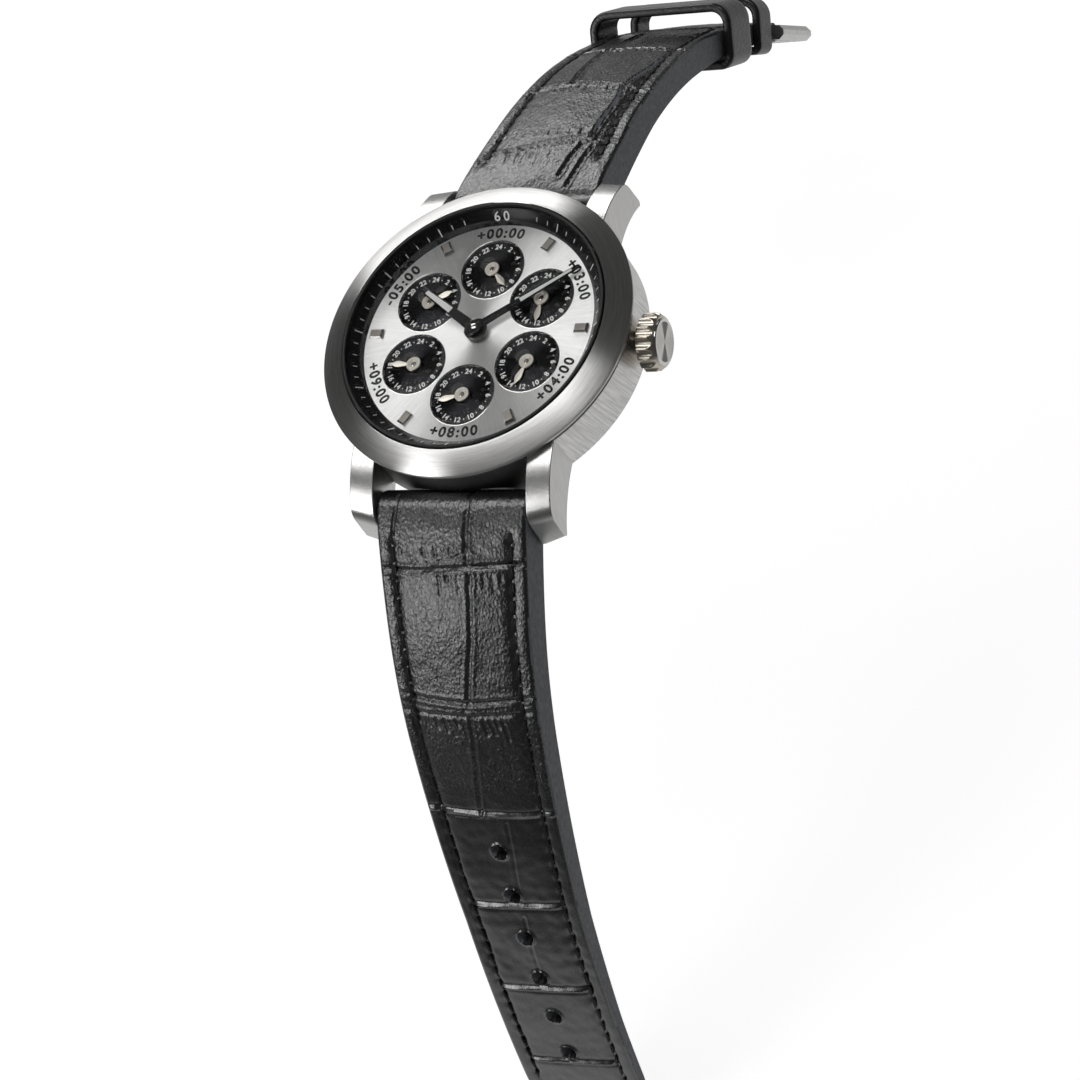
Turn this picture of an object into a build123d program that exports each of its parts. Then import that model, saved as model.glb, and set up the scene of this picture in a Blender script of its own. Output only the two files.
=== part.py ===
from build123d import *
import math
import os

# World time wristwatch with a leather strap, in millimetres.
# +Z is the dial normal, +X points to 3 o'clock and the crown, +Y points to 12 o'clock.
# The origin is the centre of the flat face of the case back.

# Case and lugs
case_r = 21.6
case_wall_t = 3.0
case_h = 6.77
case_edge = 0.3
bore_r = case_r - case_wall_t
lug_gap = 22.0
lug_t = 3.45
lug_root_in = 6.0
lug_inner_out = 4.55
lug_outer_out = 3.8
lug_root_y = case_r - lug_root_in
lug_inner_reach = case_r + lug_inner_out
lug_outer_reach = case_r + lug_outer_out
lug_inner_drop = 10.4
lug_outer_drop = 9.3
lug_outline_shares = {
    "shoulder": (0, 0.005), "brow": (0.57, 0.14), "knee_start": (0.863, 0.32), "knee": (0.938, 0.413),
    "knee_end": (0.972, 0.53), "tip": (1, 0.923), "heel": (0.962, 1), "arch": (0.6, 0.8)}

# Spring bars and their holes
bar_out = 1.7
bar_y = case_r + bar_out
bar_drop = 6.1
bar_r = 0.75
bar_tip_r = 0.4
bar_tip_in_lug = 1.2
bar_hole_play = 0.06
roll_relief_play = 0.2

# Case back
back_step_h = 2.43
back_step_w = 1.4
back_slope_w = 4.0
back_r = case_r - back_step_w
back_face_r = back_r - back_slope_w
back_foot_h = 0.35
back_rim_h = 0.55
back_plate_t = 1.3
back_plug_h = 0.8
back_notches = 6
back_notch_w = 3.0
back_notch_depth = 1.1
gasket_seat_w = 0.4
gasket_r = bore_r + gasket_seat_w
gasket_w = 0.8
gasket_t = 0.45

# Bezel, crystal and flange
bezel_overhang = 0.4
bezel_r = case_r + bezel_overhang
bezel_inner_r = bore_r
bezel_rise = 2.5
bezel_lip_w = 0.2
bezel_rim_h = 0.94
bezel_rim_flat = 0.4
bezel_skirt = 0.45
bezel_bulge = 0.1
crystal_seat_w = 0.4
crystal_r = bezel_inner_r - crystal_seat_w
crystal_edge_h = 0.55
crystal_edge_bevel = 0.3
crystal_dome_h = 1.15
crystal_gap = 0.05
crystal_gasket_w = 0.3
dial_play = 0.1
flange_w = 2.1
flange_top_w = 0.5
dial_r = bore_r - dial_play
flange_inner_r = dial_r - flange_w
flange_top_r = dial_r - flange_top_w
flange_h = 1.7

# Dial and its six zone dials
dial_rise = 0.3
dial_t = 0.4
zone_margin = 2.434
zone_spacing = 0.616
zone_place_r = (2 * (flange_inner_r - zone_margin) + zone_spacing) / 3
zone_r = (zone_place_r - zone_spacing) / 2
zone_edge_bevel = 0.12
zone_sink = 0.22
zone_fit = 0.02
marker_gap = 0.5
marker_length = 1.9
marker_start_r = flange_inner_r - marker_gap - marker_length
marker_w = 1.4
marker_h = 0.45
marker_bevel = 0.15

# Hands
hour_hand_length = 11.4
hour_hand_root_w = 1.5
hour_hand_tip_w = 0.9
hour_hub_r = 1.6
minute_hand_gap = 0.4
minute_hand_length = flange_inner_r - minute_hand_gap
minute_hand_root_w = 1.15
minute_hand_tip_w = 0.6
minute_hub_r = 1.2
hand_t = 0.18
hub_extra_t = 0.16
hour_hand_lift = 0.52
minute_hand_lift = 0.98
zone_hand_gap = 0.95
zone_hand_length = zone_r - zone_hand_gap
zone_hand_w = 0.95
zone_hand_neck_w = 0.3
zone_hub_r = 1.05
zone_hand_t = 0.15
zone_hand_lift = 0.02
shown_hour = 10
shown_minute = 9.3
zone_hours = {12: 9, 2: 12, 4: 13, 6: 17, 8: 18, 10: 4}

# Zone train: one pinion on the hour pipe, six idlers, six 24-hour wheels in one plane
drive_teeth = 18
idler_teeth = 12
zone_teeth = 36
train_gap = 0.2
train_t = 0.35
train_floor_gap = 0.15
bridge_t = 0.5
bridge_rim_w = 1.6
holder_w = 3.8
movement_play = 0.1
holder_inner_r = dial_r - holder_w
movement_r = holder_inner_r - movement_play
zone_arbor_r = 0.45
zone_pivot_r = 0.35
idler_stud_r = 0.4
pivot_play = 0.05
screw_count = 3
screw_head_r = 0.6
screw_head_t = 0.35
screw_r = 0.35
screw_length = 1.3

# Motion work under the bridge
motion_module = 0.15
cannon_teeth = 10
minute_wheel_teeth = 30
minute_pinion_teeth = 8
hour_wheel_teeth = 32
motion_space_h = 0.9
motion_wheel_t = 0.2
motion_pinion_t = 0.3
motion_lift = 0.12
hour_pipe_r = 0.95
hour_pipe_bore_r = 0.5
cannon_r = 0.42
cannon_bore_r = 0.26
post_r = 0.2

# Tooth form, as shares of the module and of one tooth pitch
addendum_share = 0.8
dedendum_share = 1.05
root_half_share = 0.3
tip_half_share = 0.11

# Movement
main_plate_t = 2.7
block_step_w = 1.4
block_r = movement_r - block_step_w
block_t = 2.2
block_edge = 0.4

# Crown, stem and setting lever
crown_drop = 3.6
crown_gap = 0.8
crown_r = 3.85
crown_length = 2.8
crown_bevel = 0.5
crown_ring_r = 3.1
crown_disc_r = 2.9
crown_ring_h = 0.3
crown_flutes = 16
crown_flute_depth = 0.42
crown_flute_w = 0.95
crown_recess_r = 2.05
crown_recess_depth = 1.6
tube_r = 1.6
tube_bore_r = 0.8
tube_reach = 1.4
seal_r = 2.0
seal_t = 0.5
stem_r = 0.55
stem_in_crown = 0.6
stem_play = 0.07
groove_in = 3.0
groove_x = movement_r - groove_in
stem_pilot_length = 3.0
stem_start_x = groove_x - stem_pilot_length
groove_w = 0.6
groove_r = 0.32
stem_travel = 1.2
lever_t = 0.4
lever_w = 2.4
lever_length = 1.8
lever_fork_w = 1.6
lever_play = 0.12
pocket_play = 0.3

# Strap: the shoulder line is the upper edge of the strap's side.
# Each run along it has a length and the degrees it turns down, from the start slope.
side_play = 0.15
strap_lug_w = lug_gap - 2 * side_play
strap_lug_t = 5.8
strap_pitch = 6.0
strap_loop_share = 0.5
lining_t = 1.0
lining_start = 2.4
long_length = 101.4
long_end_w = 17.7
long_taper = 62.0
long_upper_t = 4.7
long_middle_t = 3.4
long_lower_t = 2.3
long_end_t = 2.0
long_t = (strap_lug_t, long_upper_t, long_middle_t, long_lower_t, long_end_t)
long_start_slope = 21.0
long_lug_run = 4.25
long_upper_run = 12.0
long_middle_run = 18.0
long_lower_run = 30.0
long_end_run = 42.0
long_run_lengths = (long_lug_run, long_upper_run, long_middle_run, long_lower_run, long_end_run)
long_run_bends = (13.0, 5.8, 13.7, 8.9, 10.0)
long_dome = 0.9
short_length = 78.0
short_end_w = 18.4
short_end_run = 4.0
short_taper = short_length - short_end_run
short_end_t = 3.0
short_upper_t = 4.8
short_middle_t = 4.4
short_lower_t = 3.8
short_t = (strap_lug_t, short_upper_t, short_middle_t, short_lower_t, short_end_t)
short_start_slope = 11.0
short_lug_run = 4.65
short_upper_run = 15.0
short_middle_run = 20.0
short_lower_run = 25.0
short_buckle_run = 15.0
short_run_lengths = (short_lug_run, short_upper_run, short_middle_run, short_lower_run, short_buckle_run)
short_run_bends = (9.4, 4.8, 13.3, 12.4, 4.8)
short_dome = 0.9
thick_place_shares = (0, 0.3, 0.6, 0.8, 1)
dome_place_shares = (0, 0.1, 0.3, 0.6, 1)
dome_height_shares = (0.25, 1, 1, 0.35, 0.25)
tip_length = 9.0
tip_place_shares = (0, 0.3, 0.6, 0.85, 1)
tip_width_shares = (1, 0.93, 0.74, 0.46, 0.2)
hole_count = 6
hole_pitch = 7.4
hole_tip_room = 15.3
hole_start = long_length - hole_tip_room - (hole_count - 1) * hole_pitch
hole_r = 1.1

# Keepers: leather loops that leave room for the tail of the strap
keeper_t = 1.3
keeper_room = 2.4
keeper_top_corner_r = 1.8
free_keeper_w = 8.0
free_keeper_play = 0.45
fixed_keeper_back = 7.2
keeper_spacing = 12.1
fixed_keeper_s = short_length - fixed_keeper_back
free_keeper_s = fixed_keeper_s - keeper_spacing
fixed_keeper_w = 5.0
fixed_keeper_play = 0.06

# Pin buckle
frame_play = 0.3
frame_arm_w = 2.0
frame_t = 2.2
frame_reach = 12.5
frame_back = 2.0
frame_front_w = 3.0
frame_corner_r = 3.0
frame_inner_corner_r = 1.2
frame_notch_depth = 0.4
tang_w = 2.0
tang_ring_r = 1.35
tang_tip_t = 1.0
tang_play = 0.06
tang_slot_play = 0.4
tang_slot_back = 3.2

# Every cut runs past the material by this much
overrun = 1.0

# Heights and places that follow from the sizes above
case_low_z = back_step_h
case_top_z = case_low_z + case_h
dial_z = case_top_z + dial_rise
dial_low_z = dial_z - dial_t
bezel_top_z = case_top_z + bezel_rise
bezel_edge_z = case_top_z + bezel_rim_h
crystal_z = dial_z + flange_h + crystal_gap
bar_z = case_top_z - bar_drop
train_top_z = dial_low_z - train_gap
train_low_z = train_top_z - train_t
bridge_top_z = train_low_z - train_floor_gap
bridge_low_z = bridge_top_z - bridge_t
plate_top_z = bridge_low_z - motion_space_h
plate_low_z = plate_top_z - main_plate_t
block_low_z = plate_low_z - block_t
holder_low_z = case_low_z + back_plug_h
crown_z = case_top_z - crown_drop
crown_start_x = case_r + crown_gap
crown_face_x = crown_start_x + crown_length
strap_loop_r = strap_lug_t * strap_loop_share
train_module = 2 * zone_place_r / (drive_teeth + 2 * idler_teeth + zone_teeth)
drive_pitch_r = train_module * drive_teeth / 2
idler_pitch_r = train_module * idler_teeth / 2
idler_place_r = drive_pitch_r + idler_pitch_r
motion_centre = motion_module * (cannon_teeth + minute_wheel_teeth) / 2
turn = 360.0
half_turn = turn / 2
quarter_turn = turn / 4
hours_on_dial = 12
hours_on_zone = 24
minutes_in_hour = 60
zones = sorted(zone_hours)


def clock_angle(hour_place):
    # Angle from +X, anticlockwise, of a place on the 12-hour ring
    return quarter_turn - turn * hour_place / hours_on_dial


def turned(points):
    # A closed outline of (radius, height) points, turned about Z
    return revolve(make_face(Plane.XZ * Polyline(*points, close=True)), Axis.Z)


def tube(outer_r, inner_r, low_z, high_z):
    return turned([(inner_r, low_z), (outer_r, low_z), (outer_r, high_z), (inner_r, high_z)])


def disc(outer_r, low_z, high_z):
    return tube(outer_r, 0, low_z, high_z)


def on_crown_axis(shape):
    # A shape turned about Z is laid along +X at the height of the crown
    return Pos(0, 0, crown_z) * Rot(0, quarter_turn, 0) * shape


def rod_along_x(radius, low_x, high_x, y, z):
    return Pos(0, y, z) * Rot(0, quarter_turn, 0) * disc(radius, low_x, high_x)


def block(low_x, high_x, low_y, high_y, low_z, high_z):
    middle = Pos((low_x + high_x) / 2, (low_y + high_y) / 2, (low_z + high_z) / 2)
    return middle * Box(high_x - low_x, high_y - low_y, high_z - low_z)


def gear(teeth, module, low_z, high_z, bore_r, angle):
    # Straight-flanked teeth with backlash, one tooth centred on the given angle
    pitch_r = module * teeth / 2
    root_r = pitch_r - dedendum_share * module
    tip_r = pitch_r + addendum_share * module
    step = turn / teeth
    corners = []
    for tooth in range(teeth):
        middle = angle + tooth * step
        for radius, half_share in ((root_r, -root_half_share), (tip_r, -tip_half_share),
                                   (tip_r, tip_half_share), (root_r, root_half_share)):
            at = math.radians(middle + half_share * step)
            corners.append((radius * math.cos(at), radius * math.sin(at)))
    blank = extrude(make_face(Polyline(*corners, close=True)), high_z - low_z)
    return Pos(0, 0, low_z) * blank - disc(bore_r, low_z - overrun, high_z + overrun)


def mesh_angle(driver_angle, driver_teeth, driven_teeth, direction):
    # Angle of a driven gear, in the given direction from its driver, with a gap on the driver's tooth
    phase = (direction - driver_angle) * driver_teeth / turn
    return direction + half_turn + (phase - 1 / 2) * turn / driven_teeth


# Case middle with its four lugs

def lug_face(x, reach, drop):
    # Side outline of a lug on the plane at x, from the case wall out to the tip
    length = reach - lug_root_y
    at = {name: (lug_root_y + u * length, case_top_z - v * drop) for name, (u, v) in lug_outline_shares.items()}
    root_low = (lug_root_y, case_low_z + case_edge)
    outline = ThreePointArc(at["shoulder"], at["brow"], at["knee_start"])
    outline += ThreePointArc(at["knee_start"], at["knee"], at["knee_end"])
    outline += Line(at["knee_end"], at["tip"])
    outline += Line(at["tip"], at["heel"])
    outline += ThreePointArc(at["heel"], at["arch"], root_low)
    outline += Line(root_low, at["shoulder"])
    side = Plane(origin=(x, 0, 0), x_dir=(0, 1, 0), z_dir=(1, 0, 0))
    return make_face(side * outline)


def lug():
    inner = lug_face(lug_gap / 2, lug_inner_reach, lug_inner_drop)
    outer = lug_face(lug_gap / 2 + lug_t, lug_outer_reach, lug_outer_drop)
    return loft([inner, outer], ruled=True)


def case_middle():
    ring = turned([(bore_r, case_low_z), (case_r - case_edge, case_low_z), (case_r, case_low_z + case_edge),
                   (case_r, case_top_z - case_edge), (case_r - case_edge, case_top_z), (bore_r, case_top_z)])
    right_lug = lug()
    left_lug = mirror(right_lug, about=Plane.YZ)
    for one in (right_lug, left_lug):
        ring += one
        ring += mirror(one, about=Plane.XZ)
    ring -= tube(gasket_r + gasket_w, gasket_r, case_low_z - overrun, case_low_z + gasket_t)
    ring -= rod_along_x(tube_r, bore_r - overrun, case_r + overrun, 0, crown_z)
    hole_reach = lug_gap / 2 + bar_tip_in_lug + bar_hole_play
    for y in (bar_y, -bar_y):
        ring -= rod_along_x(bar_tip_r + bar_hole_play, -hole_reach, hole_reach, y, bar_z)
        ring -= rod_along_x(strap_loop_r + roll_relief_play, -lug_gap / 2, lug_gap / 2, y, bar_z)
    return ring


def spring_bar(y):
    # A barrel between the lugs with a thin tip at each end
    half = lug_gap / 2
    barrel = rod_along_x(bar_r, -half + side_play, half - side_play, y, bar_z)
    tips = rod_along_x(bar_tip_r, -half - bar_tip_in_lug, half + bar_tip_in_lug, y, bar_z)
    return barrel + tips


def case_tube():
    reach = case_r + crown_gap + tube_reach
    return on_crown_axis(tube(tube_r, tube_bore_r, bore_r, reach))


def case_back():
    rim_z = case_low_z - back_rim_h
    inner_r = bore_r - back_plug_h
    solid = turned([(0, 0), (back_face_r, 0), (back_face_r + back_foot_h, back_foot_h), (back_r, rim_z),
                    (back_r, case_low_z), (dial_r, case_low_z), (dial_r, case_low_z + back_plug_h),
                    (inner_r, case_low_z + back_plug_h), (inner_r, back_plate_t), (0, back_plate_t)])
    notch = block(back_r - back_notch_depth, back_r + overrun, -back_notch_w / 2, back_notch_w / 2,
                  -overrun, rim_z)
    for place in PolarLocations(0, back_notches):
        solid -= place * notch
    return solid


def case_back_gasket():
    play = gasket_w / 16
    return tube(gasket_r + gasket_w - play, gasket_r + play, case_low_z, case_low_z + gasket_t)


# Bezel, crystal, flange ring

def bezel():
    lip_r = bezel_inner_r + bezel_lip_w
    skirt_r = bezel_r - bezel_skirt
    rim_low_z = bezel_edge_z - bezel_rim_flat
    slope_mid = ((bezel_r + lip_r) / 2 + bezel_bulge, (bezel_edge_z + bezel_top_z) / 2 + bezel_bulge)
    outline = Polyline((lip_r, bezel_top_z), (bezel_inner_r, bezel_top_z - bezel_lip_w),
                       (bezel_inner_r, case_top_z), (skirt_r, case_top_z), (bezel_r, rim_low_z),
                       (bezel_r, bezel_edge_z))
    outline += ThreePointArc((bezel_r, bezel_edge_z), slope_mid, (lip_r, bezel_top_z))
    return revolve(make_face(Plane.XZ * outline), Axis.Z)


def crystal():
    edge_z = crystal_z + crystal_edge_h
    crown_r_flat = crystal_r - crystal_edge_bevel
    top_z = crystal_z + crystal_dome_h
    bevel_z = edge_z + crystal_edge_bevel
    radius = (crown_r_flat ** 2 + (top_z - bevel_z) ** 2) / (2 * (top_z - bevel_z))
    half_r = crown_r_flat / 2
    half_z = top_z - radius + math.sqrt(radius ** 2 - half_r ** 2)
    outline = Polyline((0, top_z), (0, crystal_z), (crystal_r, crystal_z), (crystal_r, edge_z),
                       (crown_r_flat, bevel_z))
    outline += ThreePointArc((crown_r_flat, bevel_z), (half_r, half_z), (0, top_z))
    return revolve(make_face(Plane.XZ * outline), Axis.Z)


def crystal_gasket():
    return tube(crystal_r + crystal_gasket_w, crystal_r, crystal_z, crystal_z + crystal_edge_h)


def flange_ring():
    top_z = dial_z + flange_h
    return turned([(flange_inner_r, dial_z), (dial_r, dial_z), (dial_r, top_z), (flange_top_r, top_z)])


# Dial, zone dials and markers

def dial_plate():
    plate = disc(dial_r, dial_low_z, dial_z)
    plate -= disc(hour_pipe_r + 2 * pivot_play, dial_low_z - overrun, dial_z + overrun)
    window = disc(zone_r, dial_low_z - overrun, dial_z + overrun)
    window += turned([(0, dial_z - zone_edge_bevel), (zone_r, dial_z - zone_edge_bevel),
                      (zone_r + zone_edge_bevel, dial_z), (zone_r + zone_edge_bevel, dial_z + overrun),
                      (0, dial_z + overrun)])
    for place in zones:
        plate -= at_zone(place) * window
    return plate


def at_zone(place):
    at = math.radians(clock_angle(place))
    return Pos(zone_place_r * math.cos(at), zone_place_r * math.sin(at), 0)


def zone_dial(place):
    return at_zone(place) * tube(zone_r - zone_fit, zone_arbor_r + 2 * pivot_play, dial_low_z,
                                 dial_z - zone_sink)


def hour_markers():
    # Bevelled bars at the odd hours
    bar = block(marker_start_r, marker_start_r + marker_length, -marker_w / 2, marker_w / 2,
                dial_z, dial_z + marker_h)
    top_edges = bar.edges().group_by(Axis.Z)[-1]
    bar = chamfer(top_edges, marker_bevel)
    return [Rot(0, 0, clock_angle(hour)) * bar for hour in range(1, hours_on_dial, 2)]


# Hands

def pointing(clock_turn, shape):
    # A hand drawn along +Y is turned clockwise by a share of a full turn
    return Rot(0, 0, -turn * clock_turn) * shape


def baton_hand(length, root_w, tip_w, hub_r, bore_r, low_z):
    blade = Polyline((-root_w / 2, 0), (root_w / 2, 0), (tip_w / 2, length - tip_w / 2))
    blade += ThreePointArc((tip_w / 2, length - tip_w / 2), (0, length), (-tip_w / 2, length - tip_w / 2))
    blade += Line((-tip_w / 2, length - tip_w / 2), (-root_w / 2, 0))
    hand = Pos(0, 0, low_z) * extrude(make_face(blade), hand_t)
    hand += disc(hub_r, low_z, low_z + hand_t + hub_extra_t)
    return hand - disc(bore_r, low_z - overrun, low_z + hand_t + hub_extra_t + overrun)


def hour_hand():
    hand = baton_hand(hour_hand_length, hour_hand_root_w, hour_hand_tip_w, hour_hub_r, hour_pipe_r,
                      dial_z + hour_hand_lift)
    return pointing((shown_hour + shown_minute / minutes_in_hour) / hours_on_dial, hand)


def minute_hand():
    hand = baton_hand(minute_hand_length, minute_hand_root_w, minute_hand_tip_w, minute_hub_r, cannon_r,
                      dial_z + minute_hand_lift)
    return pointing(shown_minute / minutes_in_hour, hand)


def zone_hand(place):
    # A leaf blade on a ring hub, one turn in 24 hours
    low_z = dial_z + zone_hand_lift
    neck_y = zone_hub_r
    belly_y = (zone_hub_r + 2 * zone_hand_length) / 3
    neck = zone_hand_neck_w / 2
    belly = zone_hand_w / 2
    blade = Polyline((-neck, 0), (neck, 0), (neck, neck_y))
    blade += Polyline((neck, neck_y), (belly, belly_y), (0, zone_hand_length), (-belly, belly_y), (-neck, neck_y))
    blade += Line((-neck, neck_y), (-neck, 0))
    hand = Pos(0, 0, low_z) * extrude(make_face(blade), zone_hand_t)
    hand += disc(zone_hub_r, low_z, low_z + zone_hand_t + hub_extra_t / 2)
    hand -= disc(zone_arbor_r, low_z - overrun, low_z + zone_hand_t + overrun)
    hours = zone_hours[place] + shown_minute / minutes_in_hour
    return at_zone(place) * pointing(hours / hours_on_zone, hand)


# Zone train

def zone_drive_pinion():
    return gear(drive_teeth, train_module, train_low_z, train_top_z, hour_pipe_r, 0)


def idler_angle(place):
    return mesh_angle(0, drive_teeth, idler_teeth, clock_angle(place))


def idler(place):
    direction = clock_angle(place)
    at = math.radians(direction)
    wheel = gear(idler_teeth, train_module, train_low_z, train_top_z, idler_stud_r + pivot_play,
                 idler_angle(place))
    return Pos(idler_place_r * math.cos(at), idler_place_r * math.sin(at), 0) * wheel


def zone_wheel(place):
    # The wheel with its arbor: a pivot down into the bridge and a seat for the hand above
    angle = mesh_angle(idler_angle(place), idler_teeth, zone_teeth, clock_angle(place))
    wheel = gear(zone_teeth, train_module, train_low_z, train_top_z, zone_arbor_r / 2, angle)
    arbor = disc(zone_arbor_r, train_low_z, dial_z + zone_hand_lift + zone_hand_t)
    pivot = disc(zone_pivot_r, bridge_low_z, train_low_z)
    return at_zone(place) * (wheel + arbor + pivot)


def train_bridge():
    # A plate on a rim, with six pivot holes, six idler studs and the hole for the hour pipe
    bridge = disc(movement_r, bridge_low_z, bridge_top_z)
    bridge += tube(movement_r, movement_r - bridge_rim_w, plate_top_z, bridge_low_z)
    bridge -= disc(hour_pipe_r + pivot_play, bridge_low_z - overrun, bridge_top_z + overrun)
    pivot_hole = disc(zone_pivot_r + pivot_play, bridge_low_z - overrun, bridge_top_z + overrun)
    stud = disc(idler_stud_r, bridge_top_z, train_top_z)
    for place in zones:
        bridge -= at_zone(place) * pivot_hole
        bridge += Rot(0, 0, clock_angle(place)) * Pos(idler_place_r, 0, 0) * stud
    for spot in screw_spots():
        bridge -= spot * disc(screw_head_r + pivot_play, bridge_top_z - screw_head_t, bridge_top_z + overrun)
        bridge -= spot * disc(screw_r + pivot_play, plate_top_z - overrun, bridge_top_z)
    return bridge


def screw_spots():
    # Screws stand between the zone wheels, in the middle of the bridge's rim
    middle_r = movement_r - bridge_rim_w / 2
    return [Rot(0, 0, turn * (n + 1 / 2) / screw_count + quarter_turn) * Pos(middle_r, 0, 0)
            for n in range(screw_count)]


def bridge_screws():
    head_z = bridge_top_z - screw_head_t
    screw = disc(screw_head_r, head_z, bridge_top_z) + disc(screw_r, head_z - screw_length, head_z)
    return [spot * screw for spot in screw_spots()]


# Motion work: cannon pinion, minute wheel and hour wheel, twelve to one

minute_wheel_low_z = plate_top_z + motion_lift
minute_wheel_high_z = minute_wheel_low_z + motion_wheel_t
hour_wheel_low_z = minute_wheel_high_z + motion_lift
hour_wheel_high_z = hour_wheel_low_z + motion_wheel_t


def hour_wheel():
    pinion_angle = 0
    angle = mesh_angle(pinion_angle, minute_pinion_teeth, hour_wheel_teeth, quarter_turn)
    wheel = gear(hour_wheel_teeth, motion_module, hour_wheel_low_z, hour_wheel_high_z, hour_pipe_bore_r, angle)
    pipe_top_z = dial_z + hour_hand_lift + hand_t + hub_extra_t
    return wheel + tube(hour_pipe_r, hour_pipe_bore_r, hour_wheel_low_z, pipe_top_z)


def cannon_pinion():
    teeth = gear(cannon_teeth, motion_module, minute_wheel_low_z, minute_wheel_high_z, cannon_bore_r, 0)
    pipe_top_z = dial_z + minute_hand_lift + hand_t + hub_extra_t
    return teeth + tube(cannon_r, cannon_bore_r, minute_wheel_low_z, pipe_top_z)


def minute_wheel():
    angle = mesh_angle(0, cannon_teeth, minute_wheel_teeth, -quarter_turn)
    wheel = gear(minute_wheel_teeth, motion_module, minute_wheel_low_z, minute_wheel_high_z,
                 post_r + pivot_play, angle)
    pinion = gear(minute_pinion_teeth, motion_module, minute_wheel_high_z,
                  minute_wheel_high_z + motion_lift + motion_pinion_t, post_r + pivot_play, 0)
    return Pos(0, -motion_centre, 0) * (wheel + pinion)


# Movement

def main_plate():
    plate = disc(movement_r, plate_low_z, plate_top_z)
    plate += disc(post_r, plate_top_z, dial_z + minute_hand_lift)
    minute_post_z = minute_wheel_high_z + motion_pinion_t
    plate += Pos(0, -motion_centre, 0) * disc(post_r, plate_top_z, minute_post_z)
    plate -= rod_along_x(stem_r + stem_play, stem_start_x - stem_play, movement_r + overrun, 0, crown_z)
    plate -= block(groove_x - lever_length / 2 - pocket_play,
                   groove_x + groove_w + stem_travel + lever_length / 2 + pocket_play,
                   -lever_w / 2 - pocket_play, lever_w / 2 + pocket_play,
                   crown_z - stem_r - pocket_play, plate_top_z + overrun)
    for spot in screw_spots():
        plate -= spot * disc(screw_r + pivot_play, bridge_top_z - screw_head_t - screw_length - pivot_play,
                             plate_top_z + overrun)
    return plate


def movement_block():
    # The closed calibre under the main plate, left solid inside
    return turned([(0, block_low_z), (block_r - block_edge, block_low_z), (block_r, block_low_z + block_edge),
                   (block_r, plate_low_z), (0, plate_low_z)])


def movement_holder():
    # The spacer ring that centres the movement and carries the dial
    ring = tube(dial_r, holder_inner_r, holder_low_z, dial_low_z)
    return ring - rod_along_x(tube_bore_r, holder_inner_r - overrun, dial_r + overrun, 0, crown_z)


# Crown, stem and setting lever

def crown():
    bevel_r = crown_r - crown_bevel
    ring_x = crown_face_x - crown_ring_h
    body = turned([(0, crown_start_x), (bevel_r, crown_start_x), (crown_r, crown_start_x + crown_bevel),
                   (crown_r, ring_x - crown_bevel), (bevel_r, ring_x), (crown_ring_r, ring_x),
                   (crown_ring_r, crown_face_x - crown_ring_h / 2), (crown_disc_r, crown_face_x),
                   (0, crown_face_x)])
    flute = make_face(Polyline((crown_r - crown_flute_depth, 0), (crown_r + overrun, -crown_flute_w),
                               (crown_r + overrun, crown_flute_w), close=True))
    cutter = Pos(0, 0, crown_start_x - overrun) * extrude(flute, crown_length - crown_ring_h + overrun)
    for place in PolarLocations(0, crown_flutes):
        body -= place * cutter
    body -= disc(crown_recess_r, crown_start_x - overrun, crown_start_x + crown_recess_depth)
    body -= disc(stem_r, crown_start_x, crown_start_x + crown_recess_depth + stem_in_crown)
    return on_crown_axis(body)


def crown_seal():
    start = crown_start_x + (crown_recess_depth - seal_t) / 2
    return on_crown_axis(tube(seal_r, tube_r + pivot_play, start, start + seal_t))


def winding_stem():
    end_x = crown_start_x + crown_recess_depth + stem_in_crown
    stem = disc(stem_r, stem_start_x, end_x)
    stem -= tube(stem_r + overrun, groove_r, groove_x, groove_x + groove_w)
    return on_crown_axis(stem)


def setting_lever():
    # A flat lever with a fork that rides in the groove of the stem
    fork_x = groove_x + lever_play / 2
    fork_t = groove_w - lever_play
    top_z = plate_top_z - lever_play
    plate = block(groove_x - lever_length / 2, groove_x + groove_w + lever_length / 2,
                  -lever_w / 2, lever_w / 2, top_z - lever_t, top_z)
    fork = block(fork_x, fork_x + fork_t, -lever_fork_w / 2, lever_fork_w / 2, crown_z - groove_r, top_z)
    slot_r = groove_r + lever_play
    slot = rod_along_x(slot_r, fork_x - overrun, fork_x + fork_t + overrun, 0, crown_z)
    slot += block(fork_x - overrun, fork_x + fork_t + overrun, -slot_r, slot_r, crown_z - overrun, crown_z)
    return plate + (fork - slot)


# Strap

def strap_point(start_slope, runs, s):
    # Place (y, z) and downward slope of the shoulder line at the length s along it
    y = bar_y
    z = bar_z + strap_loop_r
    slope = math.radians(start_slope)
    left = s
    for length, bend in runs:
        step = min(length, left)
        rate = math.radians(bend) / length
        end = slope + rate * step
        y += (math.sin(end) - math.sin(slope)) / rate
        z += (math.cos(end) - math.cos(slope)) / rate
        slope = end
        left -= step
    # Past the last run the line goes straight on
    return y + left * math.cos(slope), z - left * math.sin(slope), slope


def along(places, values, at):
    # A value read off a line of points
    for n in range(1, len(places)):
        if at <= places[n] or n == len(places) - 1:
            part = (at - places[n - 1]) / (places[n] - places[n - 1])
            return values[n - 1] + part * (values[n] - values[n - 1])


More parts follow.
